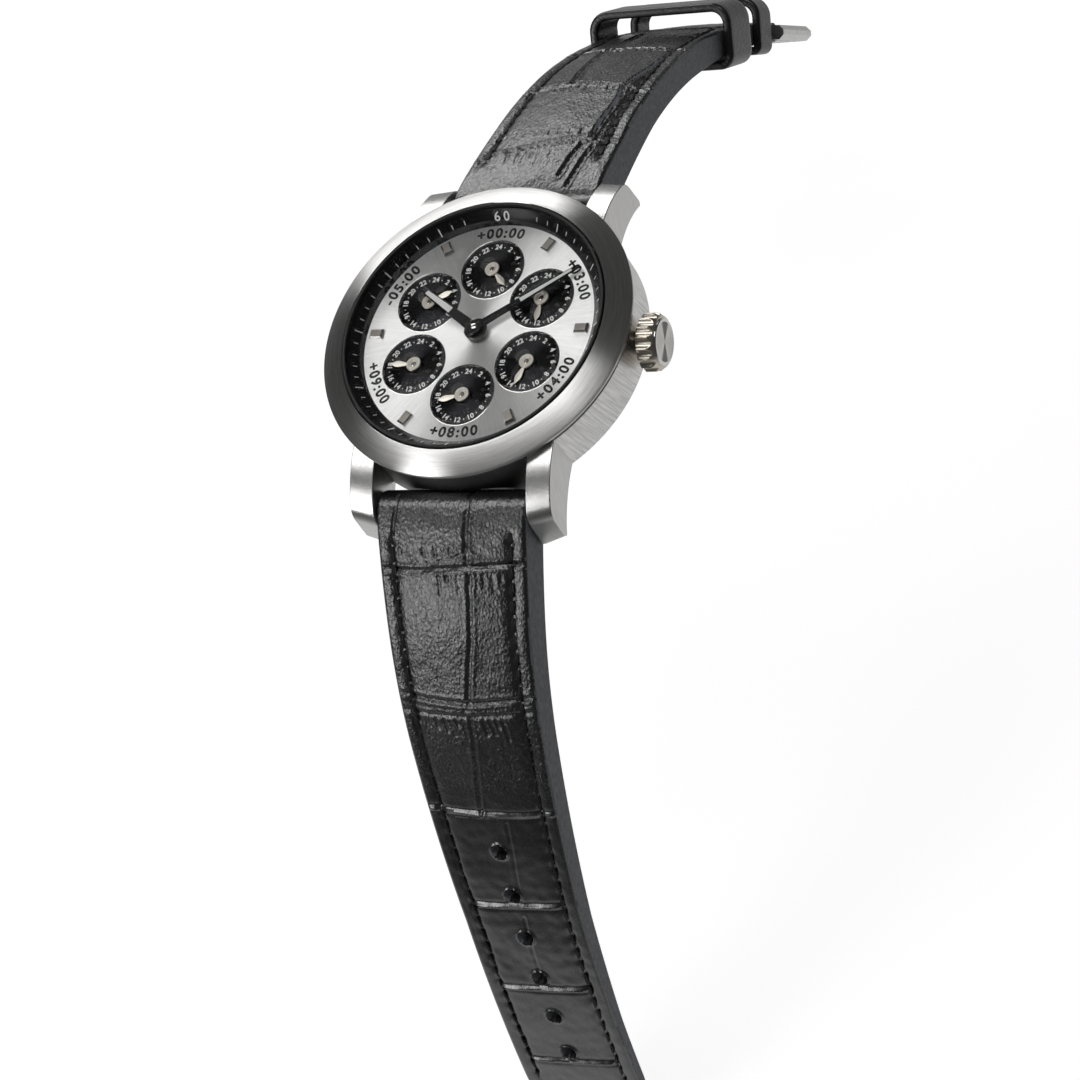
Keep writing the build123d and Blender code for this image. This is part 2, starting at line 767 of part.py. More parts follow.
class Strap:
    # One half of the strap, drawn on the +Y side
    def __init__(self, length, end_w, taper, thick, start_slope, runs, dome, pointed):
        self.length = length
        self.end_w = end_w
        self.taper = taper
        self.thick = thick
        self.start_slope = start_slope
        self.runs = runs
        self.dome = dome
        self.pointed = pointed

    def plane(self, s):
        # X across the strap, Y along it, Z out of its face, at the shoulder line
        y, z, slope = strap_point(self.start_slope, self.runs, s)
        return Plane(origin=(0, y, z), x_dir=(1, 0, 0), z_dir=(0, math.sin(slope), math.cos(slope)))

    def width(self, s):
        wide = along((0, self.taper, self.length), (strap_lug_w, self.end_w, self.end_w), s)
        if self.pointed and s > self.length - tip_length:
            part = (s - self.length + tip_length) / tip_length
            wide *= along(tip_place_shares, tip_width_shares, part)
        return wide

    def thickness(self, s):
        return along(thick_place_shares, self.thick, s / self.length)

    def dome_height(self, s):
        return self.dome * along(dome_place_shares, dome_height_shares, s / self.length)

    def stations(self):
        # Places of the cross-sections that the leather and the lining share
        body_end = self.length - (tip_length if self.pointed else lining_start)
        count = math.ceil((body_end - lining_start) / strap_pitch)
        places = [lining_start + (body_end - lining_start) * n / count for n in range(count + 1)]
        if self.pointed:
            places += [body_end + share * tip_length for share in tip_place_shares[1:]]
        return places

    def cross(self, s):
        # The plane across the strap at s, with Y out of its face
        flat = self.plane(s)
        return Plane(origin=flat.origin, x_dir=(-1, 0, 0), z_dir=flat.y_dir)

    def leather_face(self, s):
        half = self.width(s) / 2
        low = lining_t - self.thickness(s)
        outline = Polyline((-half, 0), (-half, low), (half, low), (half, 0))
        outline += ThreePointArc((half, 0), (0, self.dome_height(s)), (-half, 0))
        return make_face(self.cross(s) * outline)

    def lining_face(self, s):
        half = self.width(s) / 2
        high = lining_t - self.thickness(s)
        low = -self.thickness(s)
        return make_face(self.cross(s) * Polyline((-half, high), (-half, low), (half, low), (half, high),
                                                  close=True))

    def leather(self):
        places = [0] + self.stations()
        if not self.pointed:
            places.append(self.length)
        return loft([self.leather_face(s) for s in places], ruled=True)

    def lining(self):
        return loft([self.lining_face(s) for s in self.stations()], ruled=True)


long_strap = Strap(long_length, long_end_w, long_taper, long_t, long_start_slope,
                   list(zip(long_run_lengths, long_run_bends)), long_dome, True)
short_strap = Strap(short_length, short_end_w, short_taper, short_t, short_start_slope,
                    list(zip(short_run_lengths, short_run_bends)), short_dome, False)


def loop_roll():
    # The rolled end round the spring bar
    return rod_along_x(strap_loop_r, -strap_lug_w / 2, strap_lug_w / 2, bar_y, bar_z)


def lug_loop(shape):
    return shape + loop_roll() - rod_along_x(bar_r + bar_hole_play, -lug_gap, lug_gap, bar_y, bar_z)


def strap_holes():
    cuts = []
    for n in range(hole_count):
        s = hole_start + n * hole_pitch
        depth = long_strap.thickness(s) + overrun
        cuts.append(long_strap.plane(s) * disc(hole_r, -depth, long_dome + overrun))
    return cuts


def strap_6_leather():
    shape = lug_loop(long_strap.leather())
    for cut in strap_holes():
        shape -= cut
    return mirror(shape, about=Plane.XZ)


def strap_6_lining():
    shape = long_strap.lining() - loop_roll()
    for cut in strap_holes():
        shape -= cut
    return mirror(shape, about=Plane.XZ)


def buckle_plane():
    # X across, Y along the strap's end and Z out of its face, on the axis of the buckle bar
    flat = short_strap.plane(short_length)
    return flat.offset(-short_end_t / 2)


def rod_on_buckle(radius, half_length):
    return Rot(0, quarter_turn, 0) * disc(radius, -half_length, half_length)


def tang_slot():
    half = tang_w / 2 + tang_slot_play
    return buckle_plane() * block(-half, half, -tang_slot_back, tang_slot_back, -short_end_t, short_end_t)


def strap_12_leather():
    shape = lug_loop(short_strap.leather())
    shape += buckle_plane() * rod_on_buckle(short_end_t / 2, short_end_w / 2)
    shape -= buckle_plane() * rod_on_buckle(bar_r + bar_hole_play, short_end_w)
    return shape - tang_slot()


def strap_12_lining():
    return short_strap.lining() - loop_roll() - tang_slot()


def keeper_outline(width, height, top_corner_r, low_corner_r):
    outline = Rectangle(width, height)
    outline = fillet(outline.vertices().group_by(Axis.Y)[-1], top_corner_r)
    return fillet(outline.vertices().group_by(Axis.Y)[0], low_corner_r)


def keeper(s, width, play):
    # A closed loop round the strap, taller than the strap to take the tail
    flat = short_strap.plane(s)
    thick_end = s - width / 2
    half = short_strap.width(thick_end) / 2 + play
    low = -short_strap.thickness(thick_end) - play
    high = short_strap.dome_height(s) + keeper_room
    middle = (low + high) / 2
    inner = keeper_outline(2 * half, high - low, keeper_top_corner_r, 2 * play)
    outer = keeper_outline(2 * (half + keeper_t), high - low + 2 * keeper_t, keeper_top_corner_r + keeper_t,
                           2 * play + keeper_t)
    band = extrude(outer - inner, width / 2, both=True)
    return flat * (Pos(0, 0, middle) * Rot(quarter_turn, 0, 0) * band)


# Pin buckle

def buckle_bar():
    half = short_end_w / 2 + frame_play
    bar = rod_on_buckle(bar_r, half - side_play) + rod_on_buckle(bar_tip_r, half + bar_tip_in_lug)
    return buckle_plane() * bar


def buckle_frame():
    inner_half = short_end_w / 2 + frame_play
    outer_half = inner_half + frame_arm_w
    length = frame_reach + frame_back
    middle_y = (frame_reach - frame_back) / 2
    inner_length = length - frame_front_w + overrun
    inner_y = frame_reach - frame_front_w - inner_length / 2
    outer = Pos(0, middle_y) * RectangleRounded(2 * outer_half, length, frame_corner_r)
    outer = outer + Pos(0, -frame_back + frame_corner_r / 2) * Rectangle(2 * outer_half, frame_corner_r)
    plate = Pos(0, 0, -frame_t / 2) * extrude(outer, frame_t)
    front = plate.edges().filter_by(Axis.X).group_by(Axis.Y)[-1]
    plate = chamfer(front, frame_t / 3)
    window = Pos(0, inner_y, -frame_t) * extrude(RectangleRounded(2 * inner_half, inner_length,
                                                                  frame_inner_corner_r), 2 * frame_t)
    window += block(-inner_half, inner_half, -frame_back - overrun, frame_back, -frame_t, frame_t)
    plate -= window
    plate -= block(-tang_w / 2 - tang_play, tang_w / 2 + tang_play, frame_reach - frame_front_w - overrun,
                   frame_reach + overrun, frame_t / 2 - frame_notch_depth, frame_t)
    plate -= rod_on_buckle(bar_tip_r + bar_hole_play, inner_half + bar_tip_in_lug + bar_hole_play)
    return buckle_plane() * plate


def buckle_tang():
    rest_z = frame_t / 2 - frame_notch_depth + tang_play
    tip_y = frame_reach - frame_notch_depth
    arm = Polyline((0, 0), (frame_reach - frame_front_w, rest_z), (tip_y, rest_z),
                   (tip_y, rest_z + tang_tip_t / 2), (frame_reach - frame_front_w, rest_z + tang_tip_t),
                   (0, tang_ring_r), close=True)
    side = Plane(origin=(-tang_w / 2, 0, 0), x_dir=(0, 1, 0), z_dir=(1, 0, 0))
    tang = extrude(make_face(side * arm), tang_w)
    tang += rod_on_buckle(tang_ring_r, tang_w / 2)
    tang -= rod_on_buckle(bar_r + bar_hole_play, tang_w)
    return buckle_plane() * tang


def all_parts():
    parts = {
        "case_middle": case_middle(), "case_tube": case_tube(), "case_back": case_back(),
        "case_back_gasket": case_back_gasket(), "bezel": bezel(), "crystal": crystal(),
        "crystal_gasket": crystal_gasket(), "flange_ring": flange_ring(), "dial_plate": dial_plate(),
        "hour_markers": hour_markers(), "train_bridge": train_bridge(), "bridge_screws": bridge_screws(),
        "main_plate": main_plate(), "movement_block": movement_block(), "movement_holder": movement_holder(),
        "spring_bar_12": spring_bar(bar_y), "spring_bar_6": spring_bar(-bar_y),
        "hour_hand": hour_hand(), "hour_wheel": hour_wheel(), "zone_drive_pinion": zone_drive_pinion(),
        "minute_hand": minute_hand(), "cannon_pinion": cannon_pinion(), "minute_wheel": minute_wheel(),
        "crown": crown(), "crown_seal": crown_seal(), "winding_stem": winding_stem(),
        "setting_lever": setting_lever(),
        "strap_12_leather": strap_12_leather(), "strap_12_lining": strap_12_lining(),
        "strap_6_leather": strap_6_leather(), "strap_6_lining": strap_6_lining(),
        "free_keeper": keeper(free_keeper_s, free_keeper_w, free_keeper_play),
        "fixed_keeper": keeper(fixed_keeper_s, fixed_keeper_w, fixed_keeper_play),
        "buckle_bar": buckle_bar(), "buckle_frame": buckle_frame(), "buckle_tang": buckle_tang()}
    for place in zones:
        parts[f"zone_dial_{place:02d}"] = zone_dial(place)
        parts[f"zone_hand_{place:02d}"] = zone_hand(place)
        parts[f"zone_wheel_{place:02d}"] = zone_wheel(place)
        parts[f"idler_{place:02d}"] = idler(place)
    return parts


os.makedirs("parts", exist_ok=True)
for name, shape in all_parts().items():
    if isinstance(shape, list):
        shape = Compound(children=shape)
    export_step(shape, f"parts/{name}.step")
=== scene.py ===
# %% [markdown]
# # A world time wristwatch
# The watch has a round steel case with four bent lugs, a wide satin bezel, a silver sunray dial with
# six small black 24-hour dials, and a black leather strap embossed with large square scales.
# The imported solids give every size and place. This notebook gives them their looks: most visible pieces
# are modelled again with smoother edges, and every piece gets a finish built from nodes.
# All modelling is done in millimetres and scaled to metres when a piece is finished.

# %% Load the frame
import math
import bmesh
import bpy
import numpy as np
from mathutils import Matrix, Quaternion, Vector, noise


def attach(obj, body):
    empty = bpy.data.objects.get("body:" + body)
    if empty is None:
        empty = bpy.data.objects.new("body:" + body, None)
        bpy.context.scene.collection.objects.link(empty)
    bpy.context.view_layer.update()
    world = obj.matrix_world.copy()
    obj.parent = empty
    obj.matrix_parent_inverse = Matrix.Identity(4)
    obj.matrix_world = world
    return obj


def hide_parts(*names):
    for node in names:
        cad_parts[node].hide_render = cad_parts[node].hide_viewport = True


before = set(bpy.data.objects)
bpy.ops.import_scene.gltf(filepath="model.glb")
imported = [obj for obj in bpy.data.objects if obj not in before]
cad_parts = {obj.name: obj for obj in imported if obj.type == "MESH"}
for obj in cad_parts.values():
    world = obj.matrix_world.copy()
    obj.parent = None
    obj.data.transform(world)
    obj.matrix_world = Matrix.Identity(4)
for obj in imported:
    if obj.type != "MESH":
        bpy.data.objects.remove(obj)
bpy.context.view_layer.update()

# %% [markdown]
# ## Camera
# The view looks down on the dial from the 4 o'clock side through a long lens. Its place and turn were
# solved from the ellipses of the bezel and dials, so they are written as a point and two directions.

# %% Camera
def show(thing):
    bpy.context.scene.collection.objects.link(thing)
    return thing


camera_place = Vector((0.18117, -0.18873, 0.31561))
camera_back = Vector((0.4326, -0.4137, 0.8011)).normalized()
camera_up = Vector((-0.0019, 0.8881, 0.4597))
camera_right = camera_up.cross(camera_back).normalized()
camera_up = camera_back.cross(camera_right)
lens = bpy.data.cameras.new("studio_camera")
lens.sensor_width = 36
lens.sensor_fit = "HORIZONTAL"
lens.lens = 102.39
lens.clip_start = 0.01
camera = bpy.data.objects.new("studio_camera", lens)
camera.matrix_world = Matrix.Translation(camera_place) @ Matrix(
    (camera_right, camera_up, camera_back)).transposed().to_4x4()
show(camera)
bpy.context.scene.camera = camera
bpy.context.scene.view_settings.view_transform = "Standard"
print("lens", round(lens.lens, 1), "mm")

# %% [markdown]
# ## Light
# Brushed steel and a sunray dial show two bright wedges and two dark ones when one long soft box hangs over
# them. Here the box runs from overhead down behind 11 o'clock, in two parts, so the wedges of the bezel stand at
# 11 and 5 and those of the dial at 8 and 2. A third box at the front left lights the leather. The world is dim,
# so the rest of the steel stays dark, and it is white only to the camera.

# %% Soft boxes
def soft_box(name, direction, distance, width, height, radiance, roll=0.0):
    lamp = bpy.data.lights.new(name, "AREA")
    lamp.shape = "RECTANGLE"
    lamp.size = width
    lamp.size_y = height
    lamp.energy = radiance * math.pi * width * height
    box = bpy.data.objects.new(name, lamp)
    away = Vector(direction).normalized()
    box.location = away * distance
    turn = away.to_track_quat("Z", "Y") @ Quaternion((0, 0, 1), math.radians(roll))
    box.rotation_euler = turn.to_euler()
    show(box)
    print(name, width, "by", height, "m")


soft_box("strip_over", (-0.22, 0.12, 0.96), 0.9, 0.34, 0.90, 3.1, 30)
soft_box("strip_end", (-0.50, 0.80, 0.32), 0.9, 0.62, 0.40, 3.2)
soft_box("front_left", (-0.59, -0.61, 0.53), 0.9, 0.28, 0.46, 4.4)

# %% World
world = bpy.data.worlds.new("studio")
bpy.context.scene.world = world
world.use_nodes = True
sky = world.node_tree
sky.nodes.clear()


def feed(tree, node, key, value):
    """Sets one input to a number, a colour, another node's output or, given a node, its first output."""
    if isinstance(value, bpy.types.Node):
        value = value.outputs[0]
    if isinstance(value, bpy.types.NodeSocket):
        tree.links.new(value, node.inputs[key])
    else:
        node.inputs[key].default_value = value


def put(tree, kind, inputs=None, **settings):
    """A new shader node with its settings and inputs."""
    made = tree.nodes.new("ShaderNode" + kind)
    for key, value in settings.items():
        setattr(made, key, value)
    for key, value in (inputs or {}).items():
        feed(tree, made, key, value)
    return made


def calc(tree, operation, *values):
    return put(tree, "Math", dict(enumerate(values)), operation=operation)


def span(tree, value, source, target, **settings):
    """Maps a value from one range to another."""
    return put(tree, "MapRange", {"Value": value, "From Min": source[0], "From Max": source[1],
                                  "To Min": target[0], "To Max": target[1]}, **settings)


path = put(sky, "LightPath")
way = put(sky, "TexCoord")
rise = put(sky, "SeparateXYZ", {0: way.outputs["Generated"]})
tone = span(sky, rise.outputs["Z"], (-0.5, 0.35), (0.12, 0.07))
around = put(sky, "Background", {"Strength": tone})
seen = put(sky, "Background", {"Strength": 1.0})
either = put(sky, "MixShader", {0: path.outputs["Is Camera Ray"], 1: around, 2: seen})
put(sky, "OutputWorld", {"Surface": either})

# %% [markdown]
# ## Floor
# A plain white floor lies just under the end of the strap. Part of its white is its own light to the
# camera, so the page stays pale and the shadow of the watch stays faint. In reflections it shines only in a
# pool round the watch, which gives the case wall its grey and leaves the rest of the steel dark.

# %% Floor
floor_z = -0.0795
floor_mesh = bpy.data.meshes.new("floor")
bm = bmesh.new()
bmesh.ops.create_grid(bm, x_segments=1, y_segments=1, size=3)
bmesh.ops.translate(bm, vec=(0, 0, floor_z), verts=bm.verts)
bm.to_mesh(floor_mesh)
bm.free()
floor = show(bpy.data.objects.new("floor", floor_mesh))
paper = bpy.data.materials.new("paper_white")
paper.use_nodes = True
page = paper.node_tree
page.nodes.clear()
page_path = put(page, "LightPath")
matte = put(page, "BsdfDiffuse", {"Color": (0.3, 0.3, 0.3, 1)})
to_camera = calc(page, "MULTIPLY", page_path.outputs["Is Camera Ray"], 0.87)
page_spot = put(page, "TexCoord")
page_reach = put(page, "VectorMath", {0: page_spot.outputs["Object"]}, operation="LENGTH")
pool = span(page, page_reach.outputs["Value"], (0.12, 0.28), (0.5, 0.0))
to_steel = calc(page, "MULTIPLY", page_path.outputs["Is Glossy Ray"], pool)
strength = calc(page, "MAXIMUM", to_camera, to_steel)
glow = put(page, "Emission", {"Color": (1, 1, 1, 1), "Strength": strength})
both = put(page, "AddShader", {0: matte, 1: glow})
put(page, "OutputMaterial", {"Surface": both})
floor_mesh.materials.append(paper)
print("floor at", floor_z, "m")

# %% [markdown]
# ## Finishes: shared effects
# Three effects are used by many materials, so each is a node group: drawn lines for satin steel, small
# marks of handling for polished pieces, and the pebbled grain of leather. Each takes its place on the
# surface in millimetres.

# %% Node groups
def group(name, outputs, **numbers):
    """A node group that takes a place and some numbers, and gives numbers."""
    tree = bpy.data.node_groups.new(name, "ShaderNodeTree")
    tree.interface.new_socket("Place", in_out="INPUT", socket_type="NodeSocketVector")
    for label, value in numbers.items():
        tree.interface.new_socket(label, in_out="INPUT", socket_type="NodeSocketFloat").default_value = value
    for label in outputs:
        tree.interface.new_socket(label, in_out="OUTPUT", socket_type="NodeSocketFloat")
    return tree, tree.nodes.new("NodeGroupInput").outputs, tree.nodes.new("NodeGroupOutput")


def use(tree, shared, inputs):
    return put(tree, "Group", inputs, node_tree=shared)


# Lines drawn along the X of the place, fine across it
drawn_lines, given, result = group("drawn_lines", ["Tone", "Height"], Fineness=5.0, Contrast=0.2)
stretch = put(drawn_lines, "Mapping", {"Vector": given["Place"], "Scale": (0.05, 1, 1)})
streaks = put(drawn_lines, "TexNoise", {"Vector": stretch, "Scale": given["Fineness"], "Detail": 6.0,
                                        "Roughness": 0.75})
centred = calc(drawn_lines, "SUBTRACT", streaks, 0.5)
scaled = calc(drawn_lines, "MULTIPLY_ADD", centred, given["Contrast"], 1.0)
feed(drawn_lines, result, "Tone", scaled)
feed(drawn_lines, result, "Height", streaks)

# Cloudy smears and a few hairlines, as roughness
handling, given, result = group("handling_marks", ["Roughness"], Base=0.1, Amount=0.08)
smears = put(handling, "TexNoise", {"Vector": given["Place"], "Scale": 0.45, "Detail": 5.0})
hair_place = put(handling, "Mapping", {"Vector": given["Place"], "Rotation": (0.4, 0.7, 0.9), "Scale": (0.15, 4, 4)})
hairs = put(handling, "TexNoise", {"Vector": hair_place, "Scale": 2.0, "Detail": 3.0})
hair_mask = span(handling, hairs, (0.62, 0.7), (0, 1))
sum_marks = calc(handling, "ADD", smears, hair_mask)
rough = calc(handling, "MULTIPLY_ADD", sum_marks, given["Amount"], given["Base"])
feed(handling, result, "Roughness", rough)

# Pebbles with fine wrinkles between them
leather_grain, given, result = group("leather_grain", ["Height", "Shade"], Pebble=3.2, Wrinkle=0.6)
bend = put(leather_grain, "TexNoise", {"Vector": given["Place"], "Scale": 1.6, "Detail": 2.0})
bent = put(leather_grain, "MixRGB", {0: 0.25, 1: given["Place"], 2: bend.outputs["Color"]}, blend_type="ADD")
tilted = put(leather_grain, "Mapping", {"Vector": bent, "Rotation": (0, 0, 0.5), "Scale": (1.0, 0.7, 1)})
pebbles = put(leather_grain, "TexVoronoi", {"Vector": tilted, "Scale": given["Pebble"], "Randomness": 1.0},
              feature="SMOOTH_F1")
folds_place = put(leather_grain, "Mapping", {"Vector": bent, "Scale": (1.0, 0.55, 1)})
folds = put(leather_grain, "TexNoise", {"Vector": folds_place, "Scale": 2.1, "Detail": 4.0, "Roughness": 0.7})
mixed = calc(leather_grain, "MULTIPLY_ADD", folds, given["Wrinkle"], pebbles.outputs["Distance"])
feed(leather_grain, result, "Height", mixed)
feed(leather_grain, result, "Shade", folds)
print("node groups", len(bpy.data.node_groups))

# %% [markdown]
# ## Finishes: materials
# Satin steel has a direction, which differs from piece to piece: round on the bezel, slanted on the case
# wall, lengthwise on the lugs, rays on the dial and rings on the small dials. The shader's tangent bends the
# highlight into the wedges that such surfaces show. The wedges of the crown's small disc are painted
# highlights, bright and dark sectors by angle in its colour, because its light is too wide to draw them.

# %% Material helpers
def new_finish(name, colour, roughness, metallic=0.0, **sockets):
    material = bpy.data.materials.new(name)
    material.use_nodes = True
    tree = material.node_tree
    shader = tree.nodes["Principled BSDF"]
    values = {"Base Color": (*colour, 1), "Roughness": roughness, "Metallic": metallic}
    values.update(sockets)
    for key, value in values.items():
        shader.inputs[key].default_value = value
    return material, tree, shader


def place_in_mm(tree, centre=(0, 0, 0), turn=(0, 0, 0)):
    """Object coordinates in millimetres, measured from a centre and turned."""
    spot = put(tree, "TexCoord")
    return put(tree, "Mapping", {"Vector": spot.outputs["Object"], "Location": [-c * 1000 for c in centre],
                                 "Rotation": turn, "Scale": (1000, 1000, 1000)})


def polar_mm(tree, place, axis="Z"):
    """The angle round the axis, the distance from it and the height along it."""
    parts = put(tree, "SeparateXYZ", {0: place})
    first, second, third = {"Z": ("X", "Y", "Z"), "X": ("Y", "Z", "X")}[axis]
    angle = calc(tree, "ARCTAN2", parts.outputs[second], parts.outputs[first])
    flat = put(tree, "CombineXYZ", {"X": parts.outputs[first], "Y": parts.outputs[second]})
    radius = put(tree, "VectorMath", {0: flat}, operation="LENGTH")
    return angle.outputs[0], radius.outputs["Value"], parts.outputs[third]


def stretch_along(tree, shader, direction):
    """The shader's tangent is a direction of the world, so the piece's own direction is turned into one."""
    feed(tree, shader, "Tangent", put(tree, "VectorTransform", {0: direction}, vector_type="VECTOR",
                                      convert_from="OBJECT", convert_to="WORLD"))


def round_grooves(tree, shader, place, across=(1, 1, 0)):
    """Stretches the highlight outwards, across grooves that run round the axis."""
    stretch_along(tree, shader, put(tree, "VectorMath", {0: place, 1: across}, operation="MULTIPLY"))


def ray_grooves(tree, shader, place):
    """Stretches it round the axis, across grooves that run out from the centre."""
    stretch_along(tree, shader, put(tree, "VectorMath", {0: (0, 0, 1), 1: place}, operation="CROSS_PRODUCT"))


def tint(tree, shader, colour, tone):
    feed(tree, shader, "Base Color", put(tree, "VectorMath", {0: colour, 1: tone}, operation="MULTIPLY"))


def relief(tree, shader, height, distance, strength=1.0):
    bump = put(tree, "Bump", {"Strength": strength, "Distance": distance, "Height": height})
    feed(tree, shader, "Normal", bump)


# %% Steel finishes
steel_tone = (0.66, 0.655, 0.645)
wall_slant = math.radians(80)
# Turn of the painted highlight wedges on the crown's face
painted_wedge_turn = math.radians(27.6)


def satin_steel(name, kind, colour=steel_tone, roughness=0.3, anisotropic=0.6, fineness=5.0, contrast=0.35,
                centre=(0, 0, 0), turn=(0, 0, 0)):
    """Drawn steel. The kind tells how the lines run: round, slanted on a wall, straight, or on the crown's face, where
    bright and dark wedges by angle are painted highlights in the colour.
    """
    material, tree, shader = new_finish(name, colour, roughness, 1.0, Anisotropic=anisotropic)
    drawn = place = place_in_mm(tree, centre, turn)
    if kind != "straight":
        axis, reach = ("X", 2.0) if kind == "crown_face" else ("Z", 20.0)
        angle, radius, height = polar_mm(tree, place, axis)
        arc = calc(tree, "MULTIPLY", angle, reach)
    if kind == "wall":
        flat = put(tree, "CombineXYZ", {"X": arc, "Y": height})
        drawn = put(tree, "Mapping", {"Vector": flat, "Rotation": (0, 0, wall_slant)})
    elif kind != "straight":
        drawn = put(tree, "CombineXYZ", {"X": arc, "Y": radius, "Z": height})
        round_grooves(tree, shader, place, (0, 1, 1) if axis == "X" else (1, 1, 0))
    lines = use(tree, drawn_lines, {"Place": drawn, "Fineness": fineness, "Contrast": contrast})
    tone = lines.outputs["Tone"]
    # Painted highlights: the crown face's tone is made bright and dark in wedges by angle
    if kind == "crown_face":
        wave = calc(tree, "SINE", calc(tree, "SUBTRACT", angle, painted_wedge_turn))
        painted_wedges = span(tree, calc(tree, "ABSOLUTE", wave), (0.22, 0.55), (0.25, 1.6),
                      interpolation_type="SMOOTHSTEP")
        tone = calc(tree, "MULTIPLY", tone, painted_wedges)
    tint(tree, shader, colour, tone)
    relief(tree, shader, lines.outputs["Height"], 0.00002, 0.4)
    return material


def polished(name, colour, roughness=0.07, amount=0.05, metallic=1.0, **sockets):
    material, tree, shader = new_finish(name, colour, roughness, metallic, **sockets)
    marks = use(tree, handling, {"Place": place_in_mm(tree), "Base": roughness, "Amount": amount})
    feed(tree, shader, "Roughness", marks)
    return material


bezel_satin = satin_steel("bezel_satin", "round", roughness=0.28, anisotropic=1.0, fineness=3.2, contrast=0.9)
wall_satin = satin_steel("case_wall_satin", "wall", (0.74, 0.735, 0.725), 0.36, anisotropic=0.0, fineness=3.2,
                         contrast=1.7)
lug_satin = satin_steel("lug_top_satin", "straight", roughness=0.27, anisotropic=0.0, fineness=5.5,
                        contrast=0.8, turn=(0, 0, math.radians(90)))
lug_side_satin = satin_steel("lug_side_satin", "straight", roughness=0.34, anisotropic=0.0, fineness=4.5,
                             contrast=0.8, turn=(math.radians(-55), 0, math.radians(90)))
# The wall between the lugs is the same drawn steel made darker in colour: painted shade
recess_satin_painted_shade = satin_steel("recess_satin_painted_shade", "wall", (0.16, 0.16, 0.16), 0.4, 0.0, 4.5, 0.8)
back_satin = satin_steel("case_back_satin", "round", roughness=0.32, anisotropic=0.7, fineness=3.0, contrast=1.2)
steel_shine = polished("steel_shine", (0.72, 0.71, 0.69))
warm_shine = polished("warm_steel_shine", (0.66, 0.61, 0.53), 0.27)
# The crown's face: drawn steel with painted highlight wedges in its colour
crown_face_satin_painted_wedges = satin_steel("crown_face_satin_painted_wedges", "crown_face", (0.42, 0.41, 0.39), 0.24, 0.95,
                               fineness=8.0, contrast=0.5, centre=(0, 0, 0.0056))
print("steel finishes", len(bpy.data.materials))

# %% [markdown]
# ## Turned pieces
# The bezel, case ring, crystal and flange are all round, so each is a short outline spun once round the
# dial's axis, and all but the crystal have their sharp edges bevelled a few hundredths of a millimetre. That
# thin bevel is what catches a line of light on a real case.

# %% Modelling helpers
mm = 0.001
dial_z = 9.5
case_top_z = 9.2
case_low_z = 2.43
wall_low_z = case_low_z + 0.3
bezel_r, wall_r, seat_r = 22.0, 21.6, 18.6


def face_out(bm):
    bmesh.ops.recalc_face_normals(bm, faces=bm.faces)


def move(bm, by):
    bmesh.ops.translate(bm, vec=by, verts=bm.verts)


def turn_by(degrees, axis="Z"):
    return Matrix.Rotation(math.radians(degrees), 4, axis)


def outline(bm, points):
    """Points joined to a closed line."""
    spots = [bm.verts.new(point) for point in points]
    return spots, [bm.edges.new(pair) for pair in zip(spots, spots[1:] + spots[:1])]


def turned(points, steps=256):
    """A closed outline of (radius, height) points, spun about the dial's axis."""
    bm = bmesh.new()
    spots, edges = outline(bm, [(radius, 0, height) for radius, height in points])
    bmesh.ops.spin(bm, geom=spots + edges, cent=(0, 0, 0), axis=(0, 0, 1), angle=math.tau, steps=steps,
                   use_merge=True)
    bmesh.ops.remove_doubles(bm, verts=bm.verts, dist=0.0005)
    bmesh.ops.delete(bm, geom=[edge for edge in bm.edges if not edge.link_faces], context="EDGES")
    face_out(bm)
    return bm


def soften(bm, width, segments=2, sharper=25, where=None):
    """Bevels every edge sharper than that many degrees."""
    edges = [edge for edge in bm.edges if len(edge.link_faces) == 2
             and edge.calc_face_angle(0) > math.radians(sharper) and (where is None or where(edge))]
    bmesh.ops.bevel(bm, geom=edges, offset=width, affect="EDGES", segments=segments, profile=0.5, material=-1,
                    clamp_overlap=True)


def finish(bm, name, body, materials, stands_for=(), slot=None, crease=30, choose=None, even=False):
    """Makes the mesh a piece in metres that rides on a body. Choose tells which faces take the second material,
    and even keeps flat faces flat beside a thin bevel."""
    bm.normal_update()
    for face in bm.faces:
        face.smooth = True
        if choose:
            face.material_index = int(choose(face))
    for edge in bm.edges:
        if len(edge.link_faces) == 2:
            edge.smooth = edge.calc_face_angle(0) < math.radians(crease)
    bmesh.ops.scale(bm, vec=(mm, mm, mm), verts=bm.verts)
    mesh = bpy.data.meshes.new(name)
    bm.to_mesh(mesh)
    bm.free()
    for material in materials if isinstance(materials, (list, tuple)) else [materials]:
        mesh.materials.append(material)
    piece = show(bpy.data.objects.new(name, mesh))
    if even:
        piece.modifiers.new("even", "WEIGHTED_NORMAL").keep_sharp = True
    print(name, "on", body, len(mesh.polygons), "faces")
    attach(piece, body)
    if stands_for:
        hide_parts(*stands_for)


def three_point_arc(a, b, c, count):
    """Points on the arc from a through b to c, both ends included."""
    (ax, ay), (bx, by), (cx, cy) = a, b, c
    d = 2 * (ax * (by - cy) + bx * (cy - ay) + cx * (ay - by))
    ux = ((ax * ax + ay * ay) * (by - cy) + (bx * bx + by * by) * (cy - ay) + (cx * cx + cy * cy) * (ay - by)) / d
    uy = ((ax * ax + ay * ay) * (cx - bx) + (bx * bx + by * by) * (ax - cx) + (cx * cx + cy * cy) * (bx - ax)) / d
    radius = math.hypot(ax - ux, ay - uy)
    start = math.atan2(ay - uy, ax - ux)
    middle = (math.atan2(by - uy, bx - ux) - start) % math.tau
    sweep = (math.atan2(cy - uy, cx - ux) - start) % math.tau
    if middle > sweep:
        sweep -= math.tau
    return [(ux + radius * math.cos(start + sweep * n / count), uy + radius * math.sin(start + sweep * n / count))
            for n in range(count + 1)]


